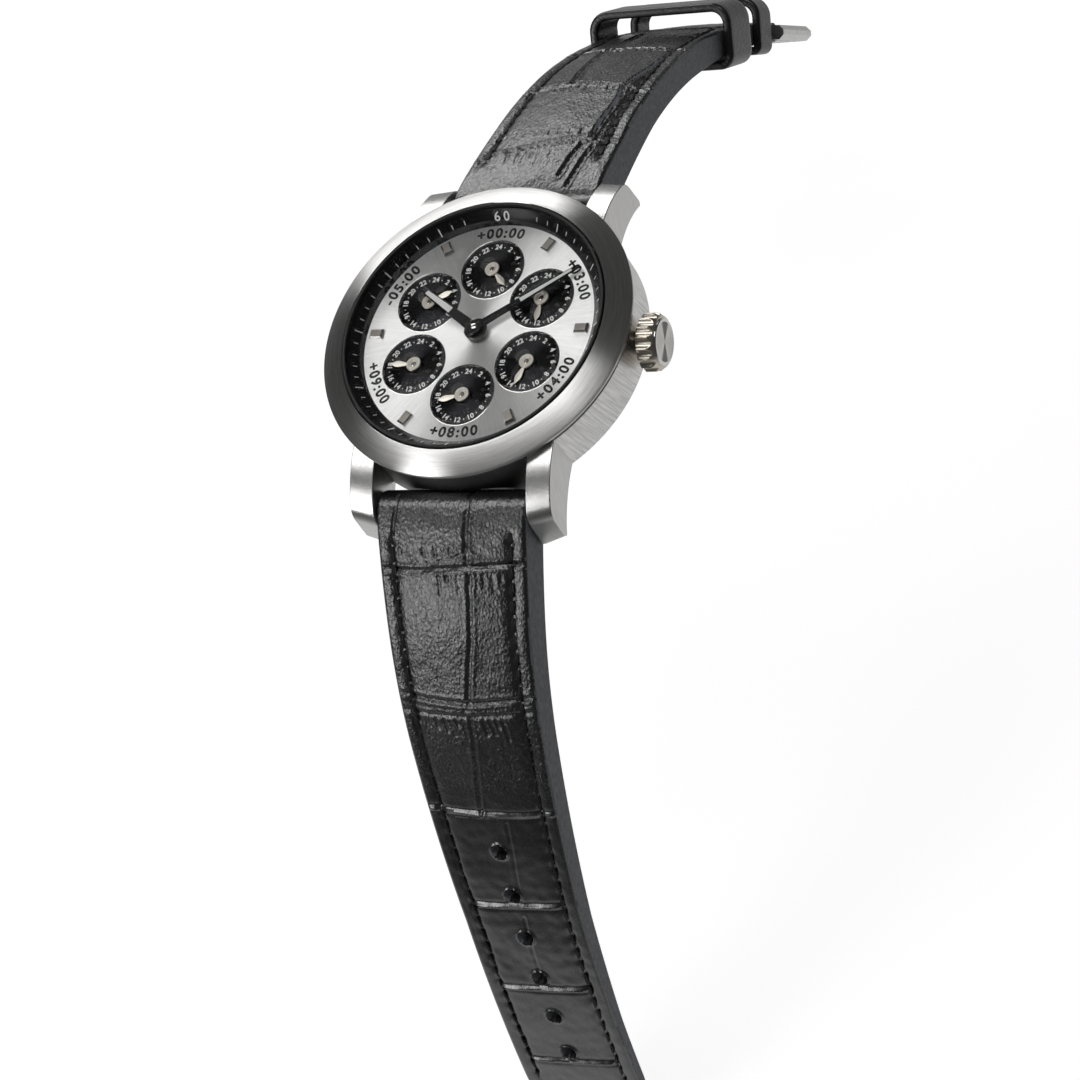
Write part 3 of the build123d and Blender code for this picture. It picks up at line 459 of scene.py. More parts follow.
# %% Bezel
bezel_slope = three_point_arc((bezel_r, 10.14), (20.5, 11.02), (18.8, 11.7), 12)
bm = turned([(seat_r, 11.5), (seat_r, case_top_z), (21.55, case_top_z), (bezel_r, 9.74)] + bezel_slope)
soften(bm, 0.07)
finish(bm, "bezel_ring", "case", [bezel_satin, steel_shine], ["bezel"], "steel_satin", even=True,
       choose=lambda face: face.calc_center_median().to_2d().length < 18.83)

# %% Case ring
relief_y, relief_z, relief_r = 23.3, 3.1, 3.1  # the round groove in which the strap's roll turns
wall = [(wall_r, wall_low_z + n * (8.9 - wall_low_z) / 24) for n in range(25)]
bm = turned([(seat_r, case_low_z), (21.3, case_low_z)] + wall + [(21.3, case_top_z), (seat_r, case_top_z)])
soften(bm, 0.06)
for spot in bm.verts:
    x, y, z = spot.co
    reach = relief_r ** 2 - (z - relief_z) ** 2
    if abs(x) < 11 and reach > 0 and abs(y) > relief_y - math.sqrt(reach):
        spot.co.y = math.copysign(relief_y - math.sqrt(reach), y)
# Faces of the wall between the lugs take the darker steel: painted shade there
finish(bm, "case_ring", "case", [wall_satin, recess_satin_painted_shade], ["case_middle"], "steel_satin", even=True,
       choose=lambda face: abs(face.calc_center_median().x) < 11 and abs(face.calc_center_median().y) > 17)

# %% [markdown]
# ## Lugs
# A lug is a thick hooked bar: its two flat sides have nearly the same outline, a little shorter on the
# outside, and the narrow face between them runs over the top and down to a cut end. Two outlines are
# bridged, the ends are closed, and the rim is bevelled so that it draws the bright line of the photograph.
# The top is drawn lengthwise and the flat sides at a slant.

# %% Four lugs
lug_root, lug_inside, lug_outside = 15.6, 11.0, 14.45
lug_shares = {"shoulder": (0, 0.005), "brow": (0.57, 0.14), "knee_start": (0.863, 0.32), "knee": (0.938, 0.413),
              "knee_end": (0.972, 0.53), "tip": (1, 0.923), "heel": (0.962, 1), "arch": (0.6, 0.8)}


def lug_outline(reach, drop):
    """The side outline, its named places given as shares of the lug's reach and drop."""
    at = {name: (lug_root + u * (reach - lug_root), case_top_z - v * drop) for name, (u, v) in lug_shares.items()}
    points = three_point_arc(at["shoulder"], at["brow"], at["knee_start"], 10)
    points += three_point_arc(at["knee_start"], at["knee"], at["knee_end"], 6)[1:]
    points += [at["tip"], at["heel"]]
    points += three_point_arc(at["heel"], at["arch"], (lug_root, wall_low_z), 10)[1:]
    return points


def lug(name, side_x, side_y):
    bm = bmesh.new()
    inner, inner_edges = outline(bm, [(lug_inside, y, z) for y, z in lug_outline(26.15, 10.4)])
    outer, outer_edges = outline(bm, [(lug_outside, y, z) for y, z in lug_outline(25.4, 9.3)])
    bmesh.ops.bridge_loops(bm, edges=inner_edges + outer_edges)
    bm.faces.new(inner)
    bm.faces.new(outer)
    face_out(bm)
    soften(bm, 0.13, 3, 40)
    bmesh.ops.scale(bm, vec=(side_x, side_y, 1), verts=bm.verts)
    face_out(bm)
    finish(bm, name, "case", [lug_satin, lug_side_satin], ["case_middle"], "steel_satin", crease=50, even=True,
           choose=lambda face: abs(face.normal.x) > 0.8)


for name, side_x, side_y in (("lug_1", 1, 1), ("lug_5", 1, -1), ("lug_7", -1, -1), ("lug_11", -1, 1)):
    lug(name, side_x, side_y)

# %% [markdown]
# ## Crown
# The crown is a turned knob with sixteen scallops cut along its rim. The profile is spun with many steps, and
# then each point is pulled in to the scallop where the scallop is deeper than the profile. That is what a
# cutter does, so the scallops run out in points on the bevel. The end has a polished ring round a disc with
# circular grain and painted highlight wedges.

# %% Crown
crown_z = 5.6
crown_x = 22.4
scallops = 16


def on_crown_axis(bm):
    """Lays a mesh turned round Z on the crown's axis, with its height outwards."""
    bmesh.ops.transform(bm, matrix=Matrix.Translation((0, 0, crown_z)) @ turn_by(90, "Y"), verts=bm.verts)


body_profile = [(0, crown_x), (3.2, crown_x), (3.55, crown_x + 0.12)]
body_profile += [(3.85, crown_x + 0.3 + 0.1 * n) for n in range(15)]
body_profile += [(3.85 - 0.056 * n, crown_x + 1.75 + 0.083 * n) for n in range(1, 10)]
body_profile += [(0, crown_x + 2.5)]
bm = turned(body_profile, scallops * 14)
for spot in bm.verts:
    radius = spot.co.to_2d().length
    if radius > 3.3:
        share = (math.atan2(spot.co.y, spot.co.x) / math.tau * scallops) % 1 - 0.5
        valley = 3.42 + 0.55 * (2 * abs(share)) ** 2.2
        if valley < radius:
            spot.co.x *= valley / radius
            spot.co.y *= valley / radius
on_crown_axis(bm)
finish(bm, "crown_body", "crown", warm_shine, ["crown"], "steel_polished", crease=38)

bm = turned([(0, crown_x + 2.4), (3.1, crown_x + 2.4), (3.1, crown_x + 2.66), (2.98, crown_x + 2.78),
             (2.72, crown_x + 2.8), (2.64, crown_x + 2.76), (0, crown_x + 2.76)], 128)
soften(bm, 0.03)
on_crown_axis(bm)
finish(bm, "crown_cap", "crown", [steel_shine, crown_face_satin_painted_wedges], ["crown"], "steel_polished",
       choose=lambda face: face.normal.x > 0.95 and math.hypot(
           face.calc_center_median().y, face.calc_center_median().z - crown_z) < 2.6)

# %% [markdown]
# ## Crystal
# The crystal is a low dome of clear sapphire. It is mostly transparent in the shader as well as in its
# transmission, because light that has to bend through a closed dome would leave the dial dark.

# %% Crystal
dome_low, dome_rise = 11.25, 1.15
clear, tree, shader = new_finish("clear_sapphire", (1, 1, 1), 0.0, 0.0, Alpha=0.04, IOR=1.6,
                                 **{"Transmission Weight": 1.0})
smear = put(tree, "TexNoise", {"Vector": place_in_mm(tree), "Scale": 0.3, "Detail": 4.0})
feed(tree, shader, "Roughness", span(tree, smear, (0, 1), (0.0, 0.04)))
dome = three_point_arc((17.9, dome_low + 0.85), (9.2, dome_low + dome_rise - 0.08), (0, dome_low + dome_rise), 20)
bm = turned([(0, dome_low), (18.2, dome_low), (18.2, dome_low + 0.55)] + dome, 192)
finish(bm, "crystal_dome", "case", clear, ["crystal"], "crystal")

# %% [markdown]
# ## Flange ring
# Between crystal and dial a steep black ring carries the minute ticks in white, longer at each five
# minutes. Ticks are thin slips laid on the slope, all in one mesh, and a plain 60 stands at the top.

# %% Flange, ticks and the top numeral
flange_black = polished("flange_black", (0.005, 0.005, 0.006), 0.22, 0.03, metallic=0.0,
                        **{"Specular IOR Level": 0.2})
print_white, tree, shader = new_finish("print_white", (0.95, 0.95, 0.93), 0.55)
ink = use(tree, handling, {"Place": place_in_mm(tree), "Base": 0.5, "Amount": 0.1})
feed(tree, shader, "Roughness", ink)
slope_foot, slope_run, slope_rise = 16.4, 1.6, 1.7
slope_angle = math.atan2(slope_rise, slope_run)
bm = turned([(slope_foot, dial_z), (18.48, dial_z), (18.48, dial_z + slope_rise), (18.0, dial_z + slope_rise)])
soften(bm, 0.03)
finish(bm, "flange_slope", "case", flange_black, ["flange_ring"], "flange_black")


def on_slope(share, lift):
    """Radius and height of a point on the slope, lifted off it."""
    return (slope_foot + slope_run * share - lift * math.sin(slope_angle),
            dial_z + slope_rise * share + lift * math.cos(slope_angle))


bm = bmesh.new()
for minute in range(60):
    if minute in (58, 59, 0, 1, 2):  # the numeral stands there
        continue
    length, width = (1.15, 0.15) if minute % 5 == 0 else (0.62, 0.1)
    radius, height = on_slope(0.56, 0.01)
    turn = turn_by(90 - 6 * minute) @ Matrix.Translation((radius, 0, height)) @ Matrix.Rotation(-slope_angle, 4, "Y")
    bmesh.ops.create_cube(bm, size=1, matrix=turn @ Matrix.Diagonal((length, width, 0.02, 1)))
finish(bm, "minute_ticks", "case", print_white)


def at_clock(clock_degrees, radius, height):
    """Turned to a place of the dial, at a radius and height."""
    return turn_by(-clock_degrees) @ Matrix.Translation((0, radius, height))


def lettering(bm, text, height, matrix, thick=0.012, bold=0.0):
    """Adds the text's mesh to the bmesh. Its middle stands at the origin of the matrix."""
    curve = bpy.data.curves.new("letters", "FONT")
    curve.body = text
    curve.size = height / 0.72
    curve.align_x = "CENTER"
    curve.align_y = "CENTER"
    curve.extrude = thick / 2
    curve.offset = bold
    curve.resolution_u = 3
    holder = show(bpy.data.objects.new("letters", curve))
    bpy.context.view_layer.update()
    mesh = bpy.data.meshes.new_from_object(holder.evaluated_get(bpy.context.evaluated_depsgraph_get()))
    mesh.transform(matrix)
    bm.from_mesh(mesh)
    bpy.data.objects.remove(holder)
    bpy.data.curves.remove(curve)
    bpy.data.meshes.remove(mesh)


bm = bmesh.new()
radius, height = on_slope(0.53, 0.01)
for text, clock_degrees in (("6", -2.3), ("0", 2.3)):
    lettering(bm, text, 1.35, at_clock(clock_degrees, radius, height) @ Matrix.Rotation(slope_angle, 4, "X"),
              bold=0.02)
finish(bm, "top_numeral", "case", print_white)

# %% [markdown]
# ## Dial
# The dial is silvered and brushed in rays from its centre, so its light stands in two bright fans at 2 and
# 8 o'clock. Rays come from noise that is fine in angle and long in radius.

# %% Sunray dial
silver_tone = (0.82, 0.82, 0.81)
sunray, tree, shader = new_finish("sunray_silver", silver_tone, 0.45, 1.0, Anisotropic=0.85)
place = place_in_mm(tree)
angle, radius, height = polar_mm(tree, place)
rays = put(tree, "CombineXYZ", {"X": radius, "Y": calc(tree, "MULTIPLY", angle, 9.0)})
lines = use(tree, drawn_lines, {"Place": rays, "Fineness": 4.0, "Contrast": 0.5})
tint(tree, shader, silver_tone, lines.outputs["Tone"])
relief(tree, shader, lines.outputs["Height"], 0.00001, 0.3)
ray_grooves(tree, shader, place)


def dress(node, material):
    """Gives a CAD node that stays its finish."""
    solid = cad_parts[node]
    solid.data.materials.clear()
    solid.data.materials.append(material)
    print(node, "keeps its solid,", material.name)


dress("dial_plate", sunray)

# %% [markdown]
# ## Small dials
# Each small dial is black with fine rings cut round its own centre, a bright rim, and numerals from 2 to 24
# with a dot between them. The numerals turn with the ring and flip over in the lower half, so that none
# stands on its head. They are made once and copied to the six places.

# %% Small dials
zone_radius = 9.516
zone_places = (12, 2, 4, 6, 8, 10)
zone_z = dial_z - 0.22
zone_tone = (0.026, 0.026, 0.028)
ring_pitch = 0.42
numeral_reach = 3.62
print_lift = 0.008


def zone_centre(place):
    at = math.radians(90 - 30 * place)
    return Vector((zone_radius * math.cos(at), zone_radius * math.sin(at), 0))


def zone_piece(bm, name, place, *rest, **more):
    """Finishes a mesh made round the middle as a piece of one small dial."""
    move(bm, zone_centre(place))
    finish(bm, f"{name}_{place:02d}", *rest, **more)


def ringed_black(place):
    """Black metal with fine wavy rings round the small dial's own centre."""
    material, tree, shader = new_finish(f"ringed_black_{place:02d}", zone_tone, 0.22, 1.0, Anisotropic=1.0)
    spot = place_in_mm(tree, tuple(zone_centre(place) * mm))
    angle, radius, height = polar_mm(tree, spot)
    wobble = put(tree, "TexNoise", {"Vector": spot, "Scale": 0.7, "Detail": 1.0})
    phase = calc(tree, "MULTIPLY_ADD", wobble, 1.4, radius)
    rings = calc(tree, "SINE", calc(tree, "MULTIPLY", phase, math.tau / ring_pitch))
    tint(tree, shader, zone_tone, span(tree, rings, (-1, 1), (0.3, 1.8)))
    relief(tree, shader, rings, 0.000002, 0.5)
    round_grooves(tree, shader, spot)
    return material


numerals = bmesh.new()
for count in range(12):
    clock_degrees = 30 * count
    text = str(2 * count) if count else "24"
    upright = 0 if clock_degrees <= 90 or clock_degrees >= 270 else 180
    lettering(numerals, text, 0.74, at_clock(clock_degrees, numeral_reach, 0) @ turn_by(upright), bold=0.028)
    bmesh.ops.create_circle(numerals, cap_ends=True, radius=0.085, segments=10,
                            matrix=at_clock(clock_degrees + 15, numeral_reach, 0.006))
numeral_mesh = bpy.data.meshes.new("zone_numerals")
numerals.to_mesh(numeral_mesh)
numerals.free()

for place in zone_places:
    dress(f"zone_dial_{place:02d}", ringed_black(place))
    bm = bmesh.new()
    bm.from_mesh(numeral_mesh)
    move(bm, zone_centre(place) + Vector((0, 0, zone_z + print_lift)))
    finish(bm, f"zone_numerals_{place:02d}", "case", print_white)
    bm = turned([(4.4, zone_z - 0.05), (4.58, zone_z - 0.05), (4.58, dial_z + 0.02), (4.52, dial_z + 0.03),
                 (4.4, zone_z + 0.05)], 96)
    zone_piece(bm, "zone_rim", place, "case", steel_shine)

# %% [markdown]
# ## Print on the dial
# Outside each small dial the silver carries its time offset in plain black figures, set letter by letter
# along the dial's edge. Above the middle the figures stand outwards, and below it inwards.

# %% Offsets
print_black = polished("print_black", (0.006, 0.006, 0.006), 0.5, 0.1, metallic=0.0, **{"Specular IOR Level": 0.15})
offsets = {12: "+00:00", 2: "+03:00", 4: "+04:00", 6: "+08:00", 8: "+09:00", 10: "-05:00"}
letter_height = 1.5
offset_reach = 15.15
advance = {":": 0.72, "+": 1.35, "-": 1.0}
digit_advance = 1.28
for place, text in offsets.items():
    bm = bmesh.new()
    upside = place in (4, 6, 8)
    widths = [advance.get(letter, digit_advance) for letter in text]
    walked = -sum(widths) / 2
    for letter, wide in zip(text, widths):
        along_arc = math.degrees((walked + wide / 2) / offset_reach)
        clock_degrees = 30 * place + (-along_arc if upside else along_arc)
        lettering(bm, letter, letter_height, at_clock(clock_degrees, offset_reach, dial_z + print_lift)
                  @ turn_by(180 if upside else 0), bold=0.07)
        walked += wide
    finish(bm, f"offset_{place:02d}", "case", print_black)

# %% [markdown]
# ## Hour markers
# A marker stands at each odd hour: a low bar with bevelled top edges. Its top is left satin and warm, and
# its bevels are polished.

# %% Hour markers
marker_top = polished("marker_top", (0.36, 0.335, 0.30), 0.3, 0.08)
bm = bmesh.new()
for hour in range(1, 12, 2):
    turn = turn_by(90 - 30 * hour) @ Matrix.Translation((14.95, 0, dial_z + 0.225))
    bmesh.ops.create_cube(bm, size=1, matrix=turn @ Matrix.Diagonal((1.9, 1.4, 0.45, 1)))
top_rim = [edge for edge in bm.edges if all(spot.co.z > dial_z + 0.4 for spot in edge.verts)]
bmesh.ops.bevel(bm, geom=top_rim, offset=0.2, affect="EDGES", segments=1, profile=0.5, material=-1)
finish(bm, "hour_bars", "case", [steel_shine, marker_top], ["hour_markers"], "steel_polished", crease=10,
       choose=lambda face: face.normal.z > 0.95)

# %% [markdown]
# ## Hands
# The two main hands are black batons with a white insert in their outer half and a thin polished bevel. Each is
# a flat outline, extruded and bevelled. The hubs are stacked rings with a bright pin in the middle.

# %% Centre hands
hand_black = polished("hand_black", (0.008, 0.008, 0.009), 0.12, 0.06, metallic=0.0,
                      **{"Coat Weight": 0.6, "Coat Roughness": 0.05})
lume_white, tree, shader = new_finish("lume_white", (0.86, 0.87, 0.84), 0.6)
powder = put(tree, "TexNoise", {"Vector": place_in_mm(tree), "Scale": 9.0, "Detail": 4.0})
relief(tree, shader, powder.outputs["Fac"], 0.00001, 0.5)
shown_hour, shown_minute = 10, 9.3


def plate(points, low, high):
    """A flat outline extruded from one height to another."""
    bm = bmesh.new()
    spots, edges = outline(bm, [(x, y, low) for x, y in points])
    face = bm.faces.new(spots)
    risen = bmesh.ops.extrude_face_region(bm, geom=[face])
    lifted = [part for part in risen["geom"] if isinstance(part, bmesh.types.BMVert)]
    bmesh.ops.translate(bm, vec=(0, 0, high - low), verts=lifted)
    face_out(bm)
    return bm


def clockwise(bm, share):
    bmesh.ops.rotate(bm, cent=(0, 0, 0), matrix=Matrix.Rotation(-math.tau * share, 3, "Z"), verts=bm.verts)


def centre_hand(name, body, node, share, length, root, tip, low, insert, hub_radius, hub_bore):
    """A baton with a round end, its insert and its hub, turned to a share of the dial's round."""
    ends = [(tip / 2 * math.cos(a), length - tip / 2 + tip / 2 * math.sin(a))
            for a in [math.pi * n / 8 for n in range(9)]]
    bm = plate([(-root / 2, 0), (root / 2, 0)] + ends, low, low + 0.18)
    soften(bm, 0.1, 1, 60, lambda edge: all(spot.co.z > low + 0.1 for spot in edge.verts))
    clockwise(bm, share)
    finish(bm, f"{name}_blade", body, hand_black, [node], "hand_black", crease=15)
    wide = [root + (tip - root) * insert[n] / length - 0.42 for n in range(2)]
    bm = plate([(-wide[0] / 2, insert[0]), (wide[0] / 2, insert[0]), (wide[1] / 2, insert[1]),
                (-wide[1] / 2, insert[1])], low + 0.1, low + 0.2)
    clockwise(bm, share)
    finish(bm, f"{name}_insert", body, lume_white)
    bm = turned([(hub_bore, low), (hub_radius, low), (hub_radius, low + 0.26), (hub_radius - 0.1, low + 0.34),
                 (hub_bore, low + 0.34)], 64)
    finish(bm, f"{name}_hub", body, hand_black, [node], "hand_black")


centre_hand("hour", "hour", "hour_hand", (shown_hour + shown_minute / 60) / 12, 11.4, 1.62, 0.95, dial_z + 0.52,
            (5.3, 10.5), 1.6, 0.95)
centre_hand("minute", "minute", "minute_hand", shown_minute / 60, 16.0, 1.3, 0.72, dial_z + 0.98, (7.0, 14.8),
            1.2, 0.42)
bm = turned([(0, dial_z + 0.9), (0.42, dial_z + 0.9), (0.42, dial_z + 1.38), (0.3, dial_z + 1.44),
             (0, dial_z + 1.45)], 48)
finish(bm, "centre_pin", "minute", steel_shine)

# %% Small hands
small_silver = polished("small_hand_silver", (0.64, 0.61, 0.54), 0.34, 0.06)
zone_hours = {12: 9, 2: 12, 4: 13, 6: 17, 8: 18, 10: 4}
low = dial_z + 0.02
leaf = [(-0.17, 0), (0.17, 0), (0.17, 1.0), (0.3, 1.45), (0.46, 2.3), (0.4, 2.75), (0, 3.5), (-0.4, 2.75),
        (-0.46, 2.3), (-0.3, 1.45), (-0.17, 1.0)]
for place, hours in zone_hours.items():
    body, node = f"zone_{place:02d}", [f"zone_hand_{place:02d}"]
    bm = plate(leaf, low, low + 0.08)
    bmesh.ops.bisect_plane(bm, geom=bm.verts[:] + bm.edges[:] + bm.faces[:], plane_co=(0, 0, 0), plane_no=(1, 0, 0))
    for spot in bm.verts:
        if abs(spot.co.x) < 0.01 and spot.co.z > low + 0.05 and spot.co.y < 3.4:
            spot.co.z += 0.1
    clockwise(bm, (hours + shown_minute / 60) / 24)
    zone_piece(bm, "small_hand", place, body, small_silver, node, "hand_silver", crease=8)
    bm = turned([(0.4, low), (1.05, low), (1.05, low + 0.17), (0.98, low + 0.24), (0.62, low + 0.24),
                 (0.55, low + 0.18), (0.4, low + 0.18)], 64)
    zone_piece(bm, "small_hub", place, body, small_silver, node, "hand_silver")
    bm = turned([(0, low), (0.36, low), (0.36, low + 0.2), (0.28, low + 0.26), (0, low + 0.27)], 32)
    zone_piece(bm, "small_pin", place, body, steel_shine)

# %% [markdown]
# ## Strap: path and relief
# The strap is a domed leather band that leaves the spring bar in a roll and curves down. It is modelled
# flat, as places across, along and high, and is bent along its path at the end. Before the bend, its top is
# pressed with the creases of large square scales, with short notches along them, and with the furrow of the
# stitches. The top stays low and smooth on the roll, which turns in the case's groove.

# %% Strap path
bar_y, bar_z, roll = 23.3, 3.1, 2.9
long_half = {"side": -1, "length": 101.4, "lug_w": 21.7, "end_w": 17.7, "taper": 62.0,
             "thick": (5.8, 4.7, 3.4, 2.3, 2.0), "slope": 21.0,
             "runs": [(4.25, 13.0), (12.0, 5.8), (18.0, 13.7), (30.0, 8.9), (42.0, 10.0)], "tip": 9.0}
short_half = {"side": 1, "length": 78.0, "lug_w": 21.7, "end_w": 18.4, "taper": 74.0,
              "thick": (5.8, 4.8, 4.4, 3.8, 3.0), "slope": 11.0,
              "runs": [(4.65, 9.4), (15.0, 4.8), (20.0, 13.3), (25.0, 12.4), (15.0, 4.8)], "tip": 0.0}
lining_t = 1.0
roll_skin = 1.25
roll_turns = 3.3
path_step = 0.1


def strap_path(half):
    """Tables of length, place (y, z) and slope, from the inside of the roll to the end."""
    back = int(roll * roll_turns / path_step)
    lengths = (np.arange(back + int(half["length"] / path_step) + 21) - back) * path_step
    knots, slopes = [0.0], [half["slope"]]
    for run, bend in half["runs"]:
        knots.append(knots[-1] + run)
        slopes.append(slopes[-1] + bend)
    slope = np.radians(np.interp(lengths, knots, slopes))
    slope = np.where(lengths < 0, lengths / roll, slope)
    window = np.ones(21) / 21
    slope = np.convolve(np.pad(slope, 10, mode="edge"), window, mode="valid")
    y = np.concatenate([[0], np.cumsum(np.cos(slope[:-1]) * path_step)])
    z = np.concatenate([[0], np.cumsum(-np.sin(slope[:-1]) * path_step)])
    start = int(np.argmin(np.abs(lengths)))
    return lengths, y - y[start] + bar_y, z - z[start] + bar_z + roll, slope


for half in (long_half, short_half):
    half["path"] = strap_path(half)
    print("strap half", half["length"], "mm, its end", round(half["path"][2][-1], 1), "mm high")


def path_at(half, along):
    """The path's y (away from the dial's middle), z and slope at a length or an array of them."""
    lengths, *tables = half["path"]
    return [np.interp(along, lengths, table) for table in tables]


def bend_on_path(bm, half):
    """Moves flat points (across, along, height) onto the strap's path."""
    across, along, high = np.array([spot.co for spot in bm.verts]).T
    y, z, slope = path_at(half, along)
    y, z = y + high * np.sin(slope), z + high * np.cos(slope)
    for spot, place in zip(bm.verts, np.stack([across, half["side"] * y, z], axis=1)):
        spot.co = place
    face_out(bm)


def half_width(half, along):
    wide = np.interp(along, (0, half["taper"], half["length"]), (half["lug_w"], half["end_w"], half["end_w"])) / 2
    if half["tip"] and along > half["length"] - half["tip"]:
        part = min(1.0, (along - half["length"] + half["tip"]) / half["tip"])
        wide *= 0.16 + 0.84 * math.sqrt(max(0.0, 1 - part ** 2.2))
    return float(wide)


def off_roll(along):
    """0 on the roll, and 1 from where the strap has its full thickness."""
    return min(1.0, max(0.0, (along - 0.6) / 3.0))


def thickness(half, along):
    full = float(np.interp(along / half["length"], (0, 0.3, 0.6, 0.8, 1), half["thick"]))
    return roll_skin + (full - roll_skin) * off_roll(along)


def dome(half, along):
    return 0.9 * float(np.interp(along / half["length"], (-0.05, 0, 0.1, 0.3, 0.6, 1), (0.0, 0.12, 1, 1, 0.35, 0.25)))


def section_shape(share):
    """Height of the domed top at a share of the half width, from 1 in the middle to 0 at the edge."""
    return 1 - abs(share) ** 1.6


# %% Creases of the scales
# Each crease is a line of (across, along) points with its depth and half width. A negative depth is a ridge.
long_creases = [
    ([(-10.8, 7.7), (-6, 8.0), (-2, 7.8), (2.5, 7.5), (6, 7.3), (10.8, 7.1)], 0.30, 0.30),
    ([(2.4, 4.6), (2.1, 5.6), (0.8, 6.3), (-2, 6.8), (-5, 7.2)], 0.12, 0.22),
    ([(2.8, -3.0), (2.6, 0), (2.4, 3), (2.4, 5), (2.5, 7.2)], 0.17, 0.30),
    ([(-7.7, -2.0), (-8.0, 1), (-8.4, 3.2)], 0.16, 0.22),
    ([(2.7, 8.0), (2.6, 12), (2.2, 17), (1.4, 21), (0.7, 25.2)], 0.17, 0.30),
    ([(-10.3, 24.4), (-5, 25.2), (0.6, 25.6), (5, 25.3), (10.3, 24.9)], 0.26, 0.29),
    ([(-10.2, 26.8), (-5, 27.3), (0.5, 27.4), (5, 27.2), (10.2, 26.8)], 0.14, 0.26),
    ([(0.5, 27.5), (0.3, 32), (-0.5, 37), (-1.1, 41.8)], 0.16, 0.26),
    ([(-9.9, 41.8), (-5, 42.1), (0, 42.2), (5, 42.3), (9.8, 42.2)], -0.26, 0.26),
    ([(2.2, 43.5), (1.9, 48), (1.3, 53), (1.0, 56.5)], 0.08, 0.22),
    ([(-6.6, 57.7), (0, 57.5), (6.4, 57.3)], -0.3, 0.29),
    ([(0.6, 59.5), (0.3, 65), (0.1, 71)], 0.08, 0.22),
    ([(-6.4, 72.7), (0, 72.5), (6.4, 72.3)], -0.3, 0.29),
    ([(-6.2, 87.2), (0, 87.0), (6.2, 86.9)], -0.26, 0.29)]
short_creases = [
    ([(-9.8, 7.4), (-8.5, 8.0), (-5, 8.3), (-2, 8.7), (2, 9.8), (6.1, 11.0)], 0.40, 0.30),
    ([(6.1, 11.0), (6.3, 15), (6.5, 19), (6.5, 22), (6.0, 24.8)], 0.40, 0.30),
    ([(6.1, 11.0), (8, 10.4), (10.4, 10.0)], 0.22, 0.23),
    ([(4.2, 2.5), (4.6, 6), (5.4, 9.6)], 0.27, 0.25),
    ([(5.9, 0.5), (6.5, 4.5), (7.0, 9)], 0.27, 0.25),
    ([(-9.9, 26.0), (-6, 26.2), (-2.8, 26.6), (1, 25.9), (4, 25.3), (6.5, 25.0), (9.9, 24.6)], 0.38, 0.29),
    ([(-2.6, 26.8), (-3.0, 31), (-3.4, 36), (-3.6, 41.4)], 0.35, 0.29),
    ([(6.2, 25.4), (6.9, 29), (7.6, 33), (7.8, 36.5)], 0.35, 0.29),
    ([(-9.6, 41.5), (-4, 41.8), (0, 41.3), (4, 40.6), (7.6, 40.1), (9.6, 40)], 0.38, 0.29),
    ([(-3.4, 42), (-3.1, 47), (-2.8, 54)], 0.27, 0.26), ([(-9.3, 57), (0, 57.4), (9.3, 57)], 0.27, 0.26)]


def notches(across_from, across_to, pitch, near, far, lean=0.0):
    """Short marks beside a crease, as lines of their own."""
    count = int((across_to - across_from) / pitch)
    marks = []
    for n in range(count + 1):
        x = across_from + n * pitch + 0.35 * math.sin(5.1 * n)
        end = near + (far - near) * (0.75 + 0.45 * math.sin(3.7 * n + 1))
        marks.append(([(x, near), (x + lean, end)], 0.10 + 0.05 * math.sin(2.3 * n), 0.24))
    return marks


long_creases += notches(-1.7, 8.2, 1.5, 8.7, 10.6, 0.1) + notches(-8.4, 7.4, 1.15, 28.0, 30.2, 0.4)
long_creases += notches(-8.6, 1.2, 1.5, 5.2, 6.4, 0.2)
short_creases += notches(-8.6, 5.2, 1.35, 25.3, 24.0) + notches(-1.6, 6.6, 1.25, 40.4, 39.0)
short_creases += notches(-9.2, 2.5, 1.35, 7.3, 5.0) + notches(-8.6, 5.4, 1.4, 12.0, 13.2)
crease_start = 0.95
for half, lines in ((long_half, long_creases), (short_half, short_creases)):
    half["creases"] = [([(x, s + crease_start) for x, s in line], deep, wide) for line, deep, wide in lines]
long_half["stitch_from"], long_half["stitch_to"] = 4.6, 92.0
short_half["stitch_from"], short_half["stitch_to"] = 7.0, 74.0
stitch_inset, stitch_pitch = 2.1, 2.3
print("creases", len(long_half["creases"]), "and", len(short_half["creases"]))


def crease_height(half, across, along):
    """Depth of all creases at arrays of points, with a low lip on both sides."""
    height = np.zeros_like(across)
    for line, deep, wide in half["creases"]:
        xs, ss = zip(*line)
        near = np.nonzero((across > min(xs) - 1.2) & (across < max(xs) + 1.2)
                          & (along > min(ss) - 1.2) & (along < max(ss) + 1.2))[0]
        x, s = across[near], along[near]
        nearest = np.full_like(x, 9.0)
        for (x0, s0), (x1, s1) in zip(line, line[1:]):
            dx, ds = x1 - x0, s1 - s0
            part = np.clip(((x - x0) * dx + (s - s0) * ds) / (dx * dx + ds * ds), 0, 1)
            nearest = np.minimum(nearest, np.hypot(x - x0 - part * dx, s - s0 - part * ds))
        groove = -deep * np.exp(-(nearest / wide) ** 2)
        lip = 0.4 * deep * np.exp(-((nearest - 2.0 * wide) / (0.8 * wide)) ** 2)
        height[near] += groove + lip
    return np.maximum(height, -0.42)


# %% [markdown]
# ## Strap: leather, lining and thread
# The top skin starts as one closed cross-section, in shares of the half width, swept straight along its length.
# Each point then gets its width, dome and depth there, the creases and the furrow are pressed in, and the skin
# is bent. Each stitch is one small bead of waxed thread, sunk in the furrow. The edges are painted a matt slate,
# and the lining is a plain smooth leather. The short half ends in a roll round the buckle's bar, slotted for
# the tang.

